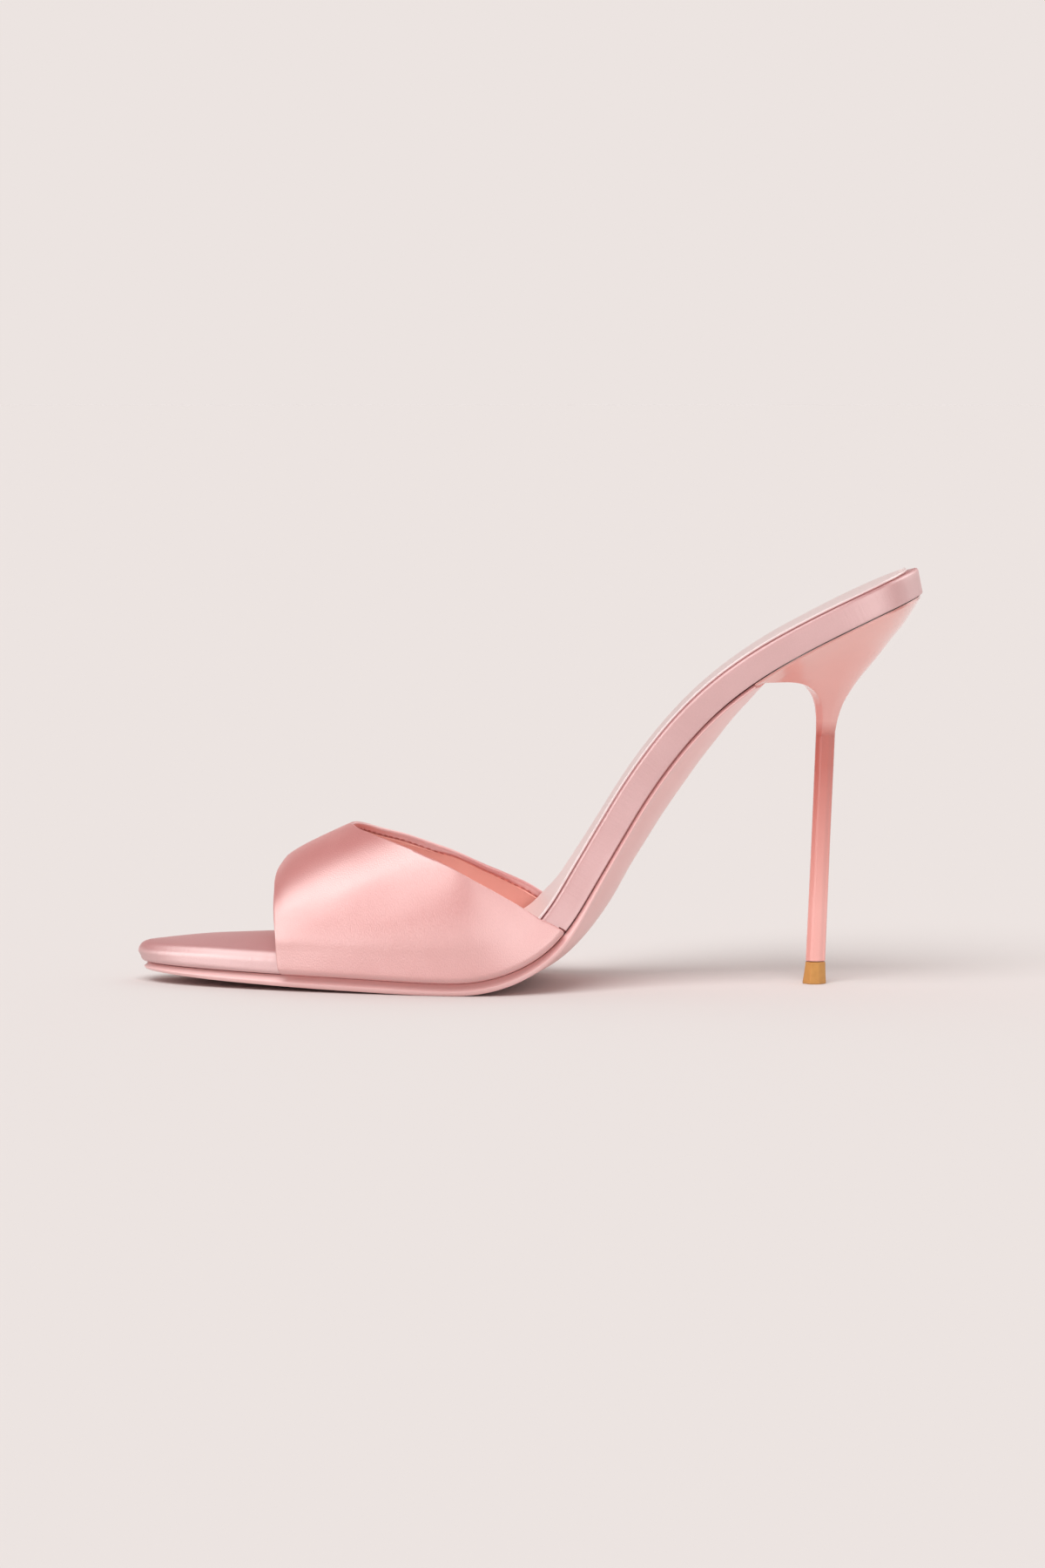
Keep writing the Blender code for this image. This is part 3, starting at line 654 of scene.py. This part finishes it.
def sock_ring(s):
    low, high = footbed_side("outer", s)[-1], footbed_side("inner", s)[-1]
    radius = SOCK_THICKNESS * RIM_ROUND
    profile = list(RIM_FOOT)
    for k in range(RIM_STEPS + 1):
        a = math.pi / 2 * k / RIM_STEPS
        profile.append((radius * (1 - math.cos(a)), SOCK_THICKNESS - radius * (1 - math.sin(a))))

    def rim(side):
        points = [(*inset_point(side, s, SOCK_INSET + inset), up) for inset, up in profile]
        return [(at, y, topside(at, y, low, high) + GAP + up) for at, y, up in points]

    return ring_between(
        s, rim("outer"), rim("inner"),
        lambda at, y: topside(at, y, low, high) + GAP + SOCK_THICKNESS,
        lambda at, y: topside(at, y, low, high) + GAP, TOP_COUNT)


sock = finish_piece(
    skin([sock_ring(s) for s in stations(SOCK_FRONT, FOOTBED_LENGTH)]),
    "sock_cover", "sock", sock_satin)

# %% [markdown]
# ## The outsole
# A leather sole closes the shoe from below. Under the forefoot its edge has a recessed flank, a fine
# ridge and a bevelled lower half. In the waist the edge thins to a line and the sole bulges below it
# instead, up to the heel's front, which it meets in a shallow curve.

# %% Outsole
BREAST_DEPTH = 3.0
# The edge's profile: how far in from the ridge, in millimetres, and how far down, as a share.
EDGE_PROFILE = (
    (1.10, 0.0), (0.86, 0.12), (0.64, 0.27), (0.44, 0.41), (0.17, 0.52), (0.04, 0.57), (0.0, 0.62),
    (0.04, 0.68), (0.22, 0.82), (0.46, 0.93), (0.72, 0.985), (1.0, 1.0),
)


def breast(s, share):
    """The heel's front is hollow, and the outsole's end fills it: how far it reaches there."""
    return BREAST_DEPTH * 4 * share * (1 - share) if s > OUTSOLE_END - 0.1 else 0.0


def outsole_side(side, s):
    edge, inset = smooth(OUTSOLE, "edge", s), smooth(OUTSOLE, "inset", s)
    return [
        (*inset_point(side, s, inset + inwards), -GAP - down * edge)
        for inwards, down in EDGE_PROFILE
    ]


def tread(s, share):
    """Height of the tread, share 0 and 1 at its edges."""
    edge, middle = smooth(OUTSOLE, "edge", s), smooth(OUTSOLE, "centre", s)
    return -GAP - edge - (middle - edge + smooth(SOLE, "camber", s)) * 4 * share * (1 - share)


def outsole_ring(s):
    outer, inner = outsole_side("outer", s), outsole_side("inner", s)
    shares = [(k + 1) / (TOP_COUNT + 1) for k in range(TOP_COUNT)]
    under = [
        (at + breast(s, k), y, tread(at + breast(s, k), k))
        for k, (at, y, _) in zip(shares, across(outer[-1], inner[-1], TOP_COUNT))
    ]
    top = [
        (at + breast(s, k), y, underside(at, y) - GAP)
        for k, (at, y, _) in zip(shares, across(inner[0], outer[0], TOP_COUNT))
    ]
    points = [on_sole(*p) for p in outer + under + inner[::-1] + top]
    for point in points:
        point.z = max(point.z, 0.0)
    return with_uv(points, s)


finish_piece(
    skin([outsole_ring(s) for s in stations(0.0, OUTSOLE_END)]),
    "outsole_leather", "outsole", sole_leather)

# %% [markdown]
# ## The band
# The band is one piece of satin over its lining, cut straight at the toe and in a deep V at the throat.
# Its form is the last's: upright beside the footbed, then a curve up to the ridge of the foot. t runs
# over the foot from the inner margin at -3, over the ridge at 0, to the outer margin at 3. From this
# one surface come the satin, the lining and the stitches, each at its own depth below it.

# %% The band's surface
CORNER = WALL + GAP
SIDE_HEIGHT, SIDE_GIRTH, RIDGE_SHIFT = 7.5, 0.15, 3.0
# The curve from the side to the ridge: how far it swells out, how long it rises, how broad its top is.
SWELL, RISE, BREADTH = 1.0, 0.5, 0.55
RIDGE = table(
    "s height", (36.0, 25.0), (40.5, 29.9), (43.5, 32.1), (50.0, 35.7), (58.0, 39.7), (80.0, 50.0),
    (121.0, 68.0))
CUT = table(
    "girth front outer inner",
    (-1.0, 40.8, 121.2, 121.4),
    (0.0, 40.2, 120.9, 121.6),
    (0.08, 39.8, 120.4, 121.7),
    (0.15, 39.6, 119.6, 121.3),
    (0.25, 39.3, 115.6, 117.2),
    (0.33, 38.9, 108.5, 107.0),
    (0.41, 38.6, 97.0, 93.6),
    (0.50, 38.3, 83.4, 80.5),
    (0.60, 38.2, 73.4, 71.5),
    (0.70, 37.9, 66.0, 64.7),
    (0.84, 38.2, 59.8, 59.9),
    (0.95, 40.0, 57.8, 57.8),
    (1.0, 40.3, 56.9, 56.9),
)
CUT_EASE = tuple(0.012 * k for k in range(-4, 5))
DS, DT = 0.2, 0.004


def side_and_girth(t):
    return ("inner", 1 + t) if t <= 0 else ("outer", 1 - t)


def band_outer(s, t):
    """A point of the satin's outer face, in metres."""
    side, girth = side_and_girth(t)
    if girth < -1:
        at, y = inset_point(side, s, (-1 - girth) * MARGIN)
        return on_sole(at, y, underside(at, y))
    if girth < 0:
        turn = -girth * math.pi / 2
        at, y = inset_point(side, s, -CORNER * math.cos(turn))
        return on_sole(at, y, CORNER * (1 - math.sin(turn)))
    at, y = inset_point(side, s, -CORNER)
    if girth <= SIDE_GIRTH:
        return on_sole(at, y, CORNER + (SIDE_HEIGHT - CORNER) * girth / SIDE_GIRTH)
    ridge_y = centre(s) + RIDGE_SHIFT
    top = smooth(RIDGE, "height", s) - SIDE_HEIGHT
    y, rise = bezier(
        (y, 0.0),
        (y + SIDES[side] * SWELL, RISE * top),
        (ridge_y + BREADTH * (y - ridge_y), top),
        (ridge_y, top),
        (girth - SIDE_GIRTH) / (1 - SIDE_GIRTH),
    )
    return on_sole(at, y, SIDE_HEIGHT, rise)


def cut_line(which, t):
    """The station of the front edge or of the topline at t, evened out over the girth near by."""
    side, girth = side_and_girth(t)
    column = "front" if which == "front" else side
    near = (smooth(CUT, column, min(girth + step, 2 - girth - step), "girth") for step in CUT_EASE)
    return sum(near) / len(CUT_EASE)


def band_frame(s, t):
    """The outer face's point, its unit direction along s, and its outward normal."""
    point = band_outer(s, t)
    along = band_outer(s + DS, t) - band_outer(s - DS, t)
    over = band_outer(s, t + DT) - band_outer(s, t - DT)
    return point, along.normalized(), over.cross(along).normalized()


def edge_frame(which, t):
    """On a cut edge: its point, the normal, and the direction out of the band, in its surface."""
    point, along, normal = band_frame(cut_line(which, t), t)
    before, after = (band_outer(cut_line(which, t + d), t + d) for d in (-DT, DT))
    out = (after - before).cross(normal).normalized()
    if (out.dot(along) > 0) != (which == "topline"):
        out = -out
    return point, along, normal, out


# %% [markdown]
# A real cut edge is turned over: the satin goes round a soft edge and on inside. So each wall is built
# as rings across the band: along the outer face, round the topline in a half circle, back along the
# inner face and round the front edge. The satin is pulled down on the last, and a few long shallow
# creases stay in it. Each is listed, from one place to another, and fades out at its ends.

# %% Walls with turned edges
EDGE_STEPS = 8
# How far the face stops short of a turned edge, and the least slant that counts for it.
EDGE_ROOM, LEAST_SLANT = 1.15, 0.25
MIDDLE_STATION = 60.0


def girth_line(low, high, count):
    """Values of t, closer together where the wall turns under the footbed."""
    ts = {low, high}
    upright = -1 + SIDE_GIRTH
    for start, end, steps in ((-3, -2, 4), (-2, -1, 8), (-1, upright, 5), (upright, 0, count)):
        ts |= {round(start + (end - start) * k / steps, 5) for k in range(steps + 1)}
    ts |= {-t for t in ts}
    return [t for t in sorted(ts) if low <= t <= high]


# Creases: their two ends as (s, t), then how wide and how deep they are, in millimetres.
CREASES = (
    ((42.0, 0.86), (85.0, 0.52), 5.0, 0.24),
    ((46.0, 0.62), (66.0, 0.36), 3.5, 0.10),
    ((117.0, 0.86), (96.0, 0.78), 3.5, 0.12),
    ((44.0, -0.80), (80.0, -0.50), 5.0, 0.20),
    ((114.0, -0.84), (94.0, -0.74), 3.5, 0.12),
)
GIRTH_LENGTH = 50.0


def crease_depth(s, t):
    """How far the satin lies below its even surface, in metres."""
    depth = 0.0
    for (s0, t0), (s1, t1), width, deepest in CREASES:
        run, rise = s1 - s0, (t1 - t0) * GIRTH_LENGTH
        at, up = s - s0, (t - t0) * GIRTH_LENGTH
        along = (at * run + up * rise) / (run**2 + rise**2)
        if 0 < along < 1:
            away = (at * rise - up * run) / math.hypot(run, rise)
            depth += deepest * 4 * along * (1 - along) * math.exp(-((away / width) ** 2))
    return depth * MM


def half_round(point, normal, out, depth, thickness, setback):
    """Points from the outer face round to the inner one, on a half circle."""
    radius = thickness / 2
    middle = point - normal * (depth + radius) - out * (setback + radius)
    turns = [math.pi * k / EDGE_STEPS for k in range(EDGE_STEPS + 1)]
    return [middle + (normal * math.cos(a) + out * math.sin(a)) * radius for a in turns]


def wall_ring(t, v, depth, thickness, setback, rows):
    """A closed ring round the wall at t, as (point, uv)."""
    reach = setback + thickness / 2
    ends = {}
    for which in ("front", "topline"):
        point, along, normal, out = edge_frame(which, t)
        arc = half_round(point, normal, out, depth, thickness, setback)
        ends[which] = (arc, EDGE_ROOM * reach / max(LEAST_SLANT, abs(out.dot(along))) / MM)
    first = cut_line("front", t) + ends["front"][1]
    last = cut_line("topline", t) - ends["topline"][1]
    first, last = min(first, (first + last) / 2), max(last, (first + last) / 2)
    shares = np.linspace(first, last, rows)
    face = [band_frame(s, t) for s in shares]
    folds = [crease_depth(s, t) if depth == 0 else 0.0 for s in shares]
    outer = [(p - n * (depth + fold), s) for (p, _, n), s, fold in zip(face, shares, folds)]
    inner = [(p - n * (depth + thickness), s) for (p, _, n), s in zip(face, shares)]
    ring = outer + [(p, cut_line("topline", t)) for p in ends["topline"][0]]
    ring += inner[::-1] + [(p, cut_line("front", t)) for p in ends["front"][0][::-1]]
    ring.append(ring[0])
    return [(p, (s * MM, v)) for p, s in ring]


def wall(low, high, count, depth, thickness, setback, rows):
    """A closed wall between two values of t, at a depth below the band's outer face."""
    ts = girth_line(low, high, count)
    line = [band_outer(MIDDLE_STATION, t) for t in ts]
    lengths = np.cumsum([0.0] + [(b - a).length for a, b in zip(line, line[1:])])
    return skin([wall_ring(t, v, depth, thickness, setback, rows) for t, v in zip(ts, lengths)])


SATIN_THICKNESS = 1.0
finish_piece(
    wall(-3.0, 3.0, count=54, depth=0.0, thickness=SATIN_THICKNESS * MM, setback=0.0, rows=70),
    "band_satin", "upper", band_satin, sharp_degrees=60)

# %% [markdown]
# The lining stops 2.2 mm short of the edges, so a strip of turned satin shows above it, and its own
# edge stands a little proud and catches the light. A row of stitches sits in the corner between them.

# %% Lining and its stitches
LINING_SETBACK = 2.2
LINING_GAP = 0.03
lining_depth = (SATIN_THICKNESS + LINING_GAP) * MM
lining_thickness = WALL * MM - lining_depth
finish_piece(
    wall(
        -1.1, 1.1, count=40, depth=lining_depth, thickness=lining_thickness,
        setback=LINING_SETBACK * MM, rows=44),
    "band_lining", None, lining_kid, sharp_degrees=60)

STITCH_LENGTH, STITCH_PITCH, THREAD = 1.5, 2.1, 0.28
# How far down the row reaches, in t, and how deep and how far out it lies, in millimetres.
STITCH_REACH, STITCH_SINK, STITCH_OUT = 0.84, 0.08, 0.25
LINE_POINTS = 400


def stitch_row(which, low, high, setback):
    """One mesh of stitches inside the band, along a line beside a cut edge."""
    bm = bmesh.new()
    line = []
    for t in np.linspace(low, high, LINE_POINTS):
        point, _, normal, out = edge_frame(which, t)
        line.append((point - out * setback - normal * (SATIN_THICKNESS + STITCH_SINK) * MM, normal))
    travelled = np.cumsum([0.0] + [(b[0] - a[0]).length for a, b in zip(line, line[1:])])
    for reached in np.arange(STITCH_PITCH * MM, travelled[-1], STITCH_PITCH * MM):
        i = int(np.searchsorted(travelled, reached)) - 1
        (a, normal), (b, _) = line[i], line[i + 1]
        forward = (b - a).normalized()
        side = forward.cross(normal).normalized()
        turn = Matrix((forward, side, normal)).transposed().to_4x4()
        size = Matrix.Diagonal((*(v * MM for v in (STITCH_LENGTH / 2, THREAD / 2, THREAD / 2)), 1.0))
        bmesh.ops.create_uvsphere(
            bm, u_segments=8, v_segments=6, radius=1.0, matrix=Matrix.Translation(a) @ turn @ size)
    return bm


thread_colour = leather("linen_thread", "C87A72", "BE7068", 0.6, 0.3, 0.3)
finish_piece(
    stitch_row("topline", -STITCH_REACH, STITCH_REACH, (LINING_SETBACK - STITCH_OUT) * MM),
    "lining_stitches", None, thread_colour)

# %% [markdown]
# ## The heel
# The stiletto is one moulded piece: a thin seat with the footbed's outline, a flare that draws in from
# all round, and a slim stem with eight flat sides. The seat's ring and the stem's ring have the same
# number of points, and every ring between is a blend of the two, on a table of the heel's outline.
# Down each side of the stem runs a long shallow hollow with a round top end.

# %% Heel
HEEL_FRONT = OUTSOLE_END + GAP
HEEL_INSET, SEAT_RIM = 1.0, 0.6
TOP_PIECE_HEIGHT = 6.0
HEEL = table(
    "row front_x front_z back_x back_z half rod",
    (0, 63.8, 83.3, 104.9, 103.2, 22.0, 0.0),
    (1, 66.5, 83.1, 102.0, 98.7, 18.2, 0.03),
    (2, 69.7, 82.8, 98.6, 94.4, 14.6, 0.1),
    (3, 72.9, 82.0, 94.7, 89.3, 11.0, 0.22),
    (4, 75.4, 80.2, 90.3, 84.0, 7.7, 0.42),
    (5, 77.0, 78.0, 87.6, 80.2, 5.4, 0.65),
    (6, 77.8, 75.2, 85.5, 76.5, 3.8, 0.86),
    (7, 78.1, 72.0, 84.1, 72.4, 2.9, 1.0),
    (8, 78.1, 69.0, 83.4, 69.0, 2.6, 1.0),
)
STEM = table(
    "z middle length half",
    (TOP_PIECE_HEIGHT + GAP, 78.25, 2.7, 2.6),
    (40.0, 79.6, 2.6, 2.55),
    (69.0, 80.75, 2.65, 2.6),
)
STEM_SHAPE = ("middle", "length", "half")
FRONT_SEGMENTS, SIDE_SEGMENTS = 28, 44
ROWS_PER_STEP, STEM_ROWS = 8, 22
# Each side takes this share of half a turn, from the back on. The front has the rest.
SIDE_TURN = 0.64
# Close rings at the stem's top draw the hollow's round end.
CLOSE_STEP, CLOSE_REACH, RING_LENGTH = 0.2, 2.3, 4.0
CHAMFER, SHARPNESS = 1.36, 18.0
HOLLOW_TOP, HOLLOW_DEPTH, HOLLOW_SOFTNESS = 68.8, 0.16, 0.18
HOLLOW_FRONT, HOLLOW_BACK = -1.45, 2.15


def stem_outline(angle, half_length, half_wide):
    """The stem's section: flats at front, back and sides, and flat chamfers between them."""
    c, s = abs(math.cos(angle)), abs(math.sin(angle))
    reach = (c**SHARPNESS + s**SHARPNESS + ((c + s) / CHAMFER) ** SHARPNESS) ** (-1 / SHARPNESS)
    return half_length * reach * math.cos(angle), half_wide * reach * math.sin(angle)


def hollow(x, z):
    """Depth of the long shallow hollow in each side of the stem. Its top end is round."""
    half = (HOLLOW_BACK - HOLLOW_FRONT) / 2
    off = abs(x - (HOLLOW_FRONT + HOLLOW_BACK) / 2)
    end = HOLLOW_TOP - half + math.sqrt(max(0.0, half**2 - off**2))
    within = min((half - off) / HOLLOW_SOFTNESS, (end - z) / HOLLOW_SOFTNESS, 1.0)
    return HOLLOW_DEPTH * max(0.0, within)


def seat_rows():
    """The heel's top as rows of points across the seat, which it meets."""
    rows = []
    for k in range(SIDE_SEGMENTS + 1):
        s = HEEL_FRONT + (FOOTBED_LENGTH - HEEL_FRONT) * math.sin(math.pi / 2 * k / SIDE_SEGMENTS)
        low, high = inset_point("outer", s, HEEL_INSET), inset_point("inner", s, HEEL_INSET)
        row = [low] + across(low, high, FRONT_SEGMENTS - 1) + [high]
        shares = [k / FRONT_SEGMENTS for k in range(FRONT_SEGMENTS + 1)]
        fade = (FOOTBED_LENGTH - s) / (FOOTBED_LENGTH - HEEL_FRONT)
        rows.append([
            (at + fade * breast(HEEL_FRONT, share), y, -GAP) for share, (at, y) in zip(shares, row)
        ])
    return rows


def heel_rings():
    """Rings from the seat down to the stem's end."""
    rows = seat_rows()
    seat = [row[0] for row in rows][::-1] + rows[0][1:-1] + [row[-1] for row in rows][:-1]
    angles = [SIDE_TURN * math.pi * k / SIDE_SEGMENTS for k in range(SIDE_SEGMENTS + 1)]
    front_turn = 2 * (1 - SIDE_TURN) * math.pi
    angles += [angles[-1] + front_turn * k / FRONT_SEGMENTS for k in range(1, FRONT_SEGMENTS)]
    angles += [2 * math.pi - a for a in angles[SIDE_SEGMENTS:0:-1]]
    top = [on_sole(*p) / MM for p in seat]
    front, back = top[SIDE_SEGMENTS], top[0]
    width = max(p.y for p in top) - CENTRING[1]
    rings = [[p * MM for p in top], [on_sole(s, y, h - SEAT_RIM) for s, y, h in seat]]
    shares = [((p.x - front.x) / (back.x - front.x), (p.y - CENTRING[1]) / width) for p in top]
    bows = [p.z - front.z - share * (back.z - front.z) for p, (share, _) in zip(top, shares)]
    for k in range(ROWS_PER_STEP * (len(HEEL["row"]) - 1) + 1):
        front_x, front_z, back_x, back_z, half, rod = (
            smooth(HEEL, column, k / ROWS_PER_STEP, "row")
            for column in ("front_x", "front_z", "back_x", "back_z", "half", "rod")
        )
        ring = []
        for (share, side), angle, bow in zip(shares, angles, bows):
            along, out = stem_outline(angle, 0.5, 1.0)
            u = share * (1 - rod) + (0.5 + along) * rod
            v = side * (1 - rod) - out * rod
            x, z = front_x + u * (back_x - front_x), front_z + u * (back_z - front_z)
            ring.append(place(x, half * v, z + bow * (1 - rod) ** 4))
        rings.append(ring)
    stem_foot, stem_top = STEM["z"][0], STEM["z"][-1]
    levels = list(np.arange(stem_top - CLOSE_STEP, stem_top - CLOSE_REACH, -CLOSE_STEP))
    levels += list(np.linspace(levels[-1], stem_foot, STEM_ROWS)[1:])
    for z in levels:
        middle, length, half = (smooth(STEM, column, z, "z") for column in STEM_SHAPE)
        ring = []
        for x, y in (stem_outline(a, length, half) for a in angles):
            ring.append(place(middle + x, -y + math.copysign(hollow(x, z), y), z))
        rings.append(ring)
    return [with_uv(ring, RING_LENGTH * i) for i, ring in enumerate(rings)]


finish_piece(skin(heel_rings()), "heel_body", "heel", heel_lacquer_and_painted_shade)

# %% [markdown]
# ## The top piece
# A short rubber tip takes the wear. It flares a little towards the floor, and its lower edge is eased.

# %% Top piece
# Its rings: height, how far back, and how much wider than the stem, in millimetres.
TIP_RINGS = (
    (TOP_PIECE_HEIGHT, 0.0, -0.12), (TOP_PIECE_HEIGHT - 0.12, 0.0, 0.0), (3.0, 0.15, 0.22),
    (0.4, 0.3, 0.5), (0.15, 0.3, 0.46), (0.0, 0.3, 0.3),
)
TIP_SEGMENTS = 96
middle, half_length, half_wide = (STEM[column][0] for column in STEM_SHAPE)
turn = [2 * math.pi * k / TIP_SEGMENTS for k in range(TIP_SEGMENTS)]
tip_rings = []
for z, back, grown in TIP_RINGS:
    section = (stem_outline(a, half_length + grown, half_wide + grown) for a in turn)
    tip_rings.append(with_uv([place(middle - back + x, -y, z) for x, y in section], z))
finish_piece(
    skin(tip_rings), "tip_rubber", "top_piece", top_piece_rubber,
    sharp_degrees=24.0)

# %% [markdown]
# ## Floor, light and camera
# The floor is a plain pale plane, and the world beyond it has the same tone. The dome over them is
# dimmer in front than behind. Satin mirrors whatever is round it, so gloss sees a dome of its own:
# pale at the horizon, dark above, with a few soft round patches that stand for softboxes. They draw
# the highlights on the band and the heel.

# %% Floor and world
PALE, FLOOR_TONE, LIGHT_TONE = "ECE4E1", "D6D1CF", "FFF9F7"
FLOOR_SIZE = 60.0
# Two places on the dome, as its height or its depth from -1 to 1, and the radiance at each.
HORIZON, OVERHEAD, HORIZON_GLOW, OVERHEAD_GLOW = 0.06, 0.36, 0.84, 0.08
IN_FRONT, BEHIND, FRONT_LIGHT, BACK_LIGHT = -0.7, 0.7, 0.34, 0.9
floor_mesh = bpy.data.meshes.new("floor")
floor_bm = bmesh.new()
bmesh.ops.create_grid(floor_bm, x_segments=1, y_segments=1, size=FLOOR_SIZE)
floor_bm.to_mesh(floor_mesh)
floor_bm.free()
floor = put("floor", floor_mesh)
floor_mesh.materials.append(new_material(
    "matt_floor_paint", Specular_IOR_Level=0.0, Roughness=1.0, Base_Color=linear(FLOOR_TONE))[0])

world = bpy.data.worlds.new("studio")
bpy.context.scene.world = world
world.use_nodes = True
sky = world.node_tree
direction = add(sky, "ShaderNodeTexCoord")
height = add(sky, "ShaderNodeSeparateXYZ", {"Vector": (direction, "Generated")})
fade = add(sky, "ShaderNodeMapRange", {
    "Value": (height, "Z"), "From Min": HORIZON, "From Max": OVERHEAD,
    "To Min": HORIZON_GLOW, "To Max": OVERHEAD_GLOW}, interpolation_type="SMOOTHSTEP")


def compass(azimuth, elevation):
    """The unit direction at an azimuth from the front and an elevation, both in degrees."""
    a, e = math.radians(azimuth), math.radians(elevation)
    return Vector((math.sin(a) * math.cos(e), -math.cos(a) * math.cos(e), math.sin(e)))


def patch(azimuth, elevation, inner, outer, radiance):
    """A round patch of light on the dome, even to the inner angle and faded out at the outer one."""
    facing = add(sky, "ShaderNodeVectorMath", {
        0: (direction, "Generated"), 1: compass(azimuth, elevation)}, operation="DOT_PRODUCT")
    return add(sky, "ShaderNodeMapRange", {
        "Value": (facing, "Value"), "From Min": math.cos(math.radians(outer)),
        "From Max": math.cos(math.radians(inner)), "To Min": 0.0, "To Max": radiance},
        interpolation_type="SMOOTHSTEP")


# Each patch's azimuth and elevation, the angles where it starts and ends to fade, and its radiance.
PATCHES = (
    (-86, 57, 4, 24, 2.1), (-68, 47, 4, 20, 1.2), (-53, 31, 4, 19, 2.0), (-64, 0, 12, 30, 3.0),
    (42, 26, 8, 30, 0.85), (22, 24, 18, 50, 0.6), (125, 42, 10, 40, 2.0),
)
glow = (fade, "Result")
for azimuth, elevation, inner, outer, radiance in PATCHES:
    spot = patch(azimuth, elevation, inner, outer, radiance)
    glow = (add(sky, "ShaderNodeMath", {0: glow, 1: (spot, "Result")}, operation="ADD"), "Value")
ray = add(sky, "ShaderNodeLightPath")
seen = add(sky, "ShaderNodeBackground", {"Color": linear(PALE), "Strength": 1.0})
depth = add(sky, "ShaderNodeMapRange", {
    "Value": (height, "Y"), "From Min": IN_FRONT, "From Max": BEHIND,
    "To Min": FRONT_LIGHT, "To Max": BACK_LIGHT})
lit = add(sky, "ShaderNodeBackground", {"Color": linear(LIGHT_TONE), "Strength": (depth, "Result")})
mirrored = add(sky, "ShaderNodeBackground", {"Color": linear(LIGHT_TONE), "Strength": glow})
soft = add(sky, "ShaderNodeMixShader", {
    "Fac": (ray, "Is Glossy Ray"), 1: (lit, "Background"), 2: (mirrored, "Background")})
either = add(sky, "ShaderNodeMixShader", {
    "Fac": (ray, "Is Camera Ray"), 1: (soft, "Shader"), 2: (seen, "Background")})
sky.links.new(either.outputs["Shader"], sky.nodes["World Output"].inputs["Surface"])
bpy.context.scene.view_settings.view_transform = "Standard"

# %% [markdown]
# One very wide key light stands high in front, a little to the toe's side, so that a soft shadow
# falls behind the shoe. It lights cloth and floor, and gloss mirrors only the dome.

# %% Key light
KEY_FROM, KEY_STRENGTH, KEY_SPREAD = (-0.2, -0.8, 1.2), 2.4, 45


def aim(obj, position, target):
    """Puts a lamp or a camera at a position, looking at a target."""
    direction = Vector(target) - Vector(position)
    turn = direction.to_track_quat("-Z", "Y").to_matrix().to_4x4()
    obj.matrix_world = Matrix.Translation(position) @ turn


sun = bpy.data.lights.new("key", "SUN")
sun.energy, sun.angle = KEY_STRENGTH, math.radians(KEY_SPREAD)
key = put("key", sun)
aim(key, KEY_FROM, (0, 0, 0))
key.visible_glossy = False
bpy.context.scene.cycles.caustics_reflective = False

# %% [markdown]
# The camera stands 1.5 m away and looks down at the shoe by 4 degrees, with a long lens, so that the
# shoe is seen nearly square from its outer side.

# %% Camera
CAMERA_TARGET = Vector((-0.00145, 0.0007, 0.0545))
CAMERA_DISTANCE, AZIMUTH, ELEVATION = 1.5, 1.5, 4.1
VIEW_WIDTH, SENSOR = 0.2856, 36.0
lens = bpy.data.cameras.new("camera")
lens.sensor_fit = "HORIZONTAL"
lens.sensor_width = SENSOR
lens.lens = SENSOR * CAMERA_DISTANCE / VIEW_WIDTH
lens.clip_start, lens.clip_end = 0.05, 200.0
camera = put("camera", lens)
aim(camera, CAMERA_TARGET + compass(AZIMUTH, ELEVATION) * CAMERA_DISTANCE, CAMERA_TARGET)
bpy.context.scene.camera = camera
print("lens:", round(lens.lens, 1), "mm")
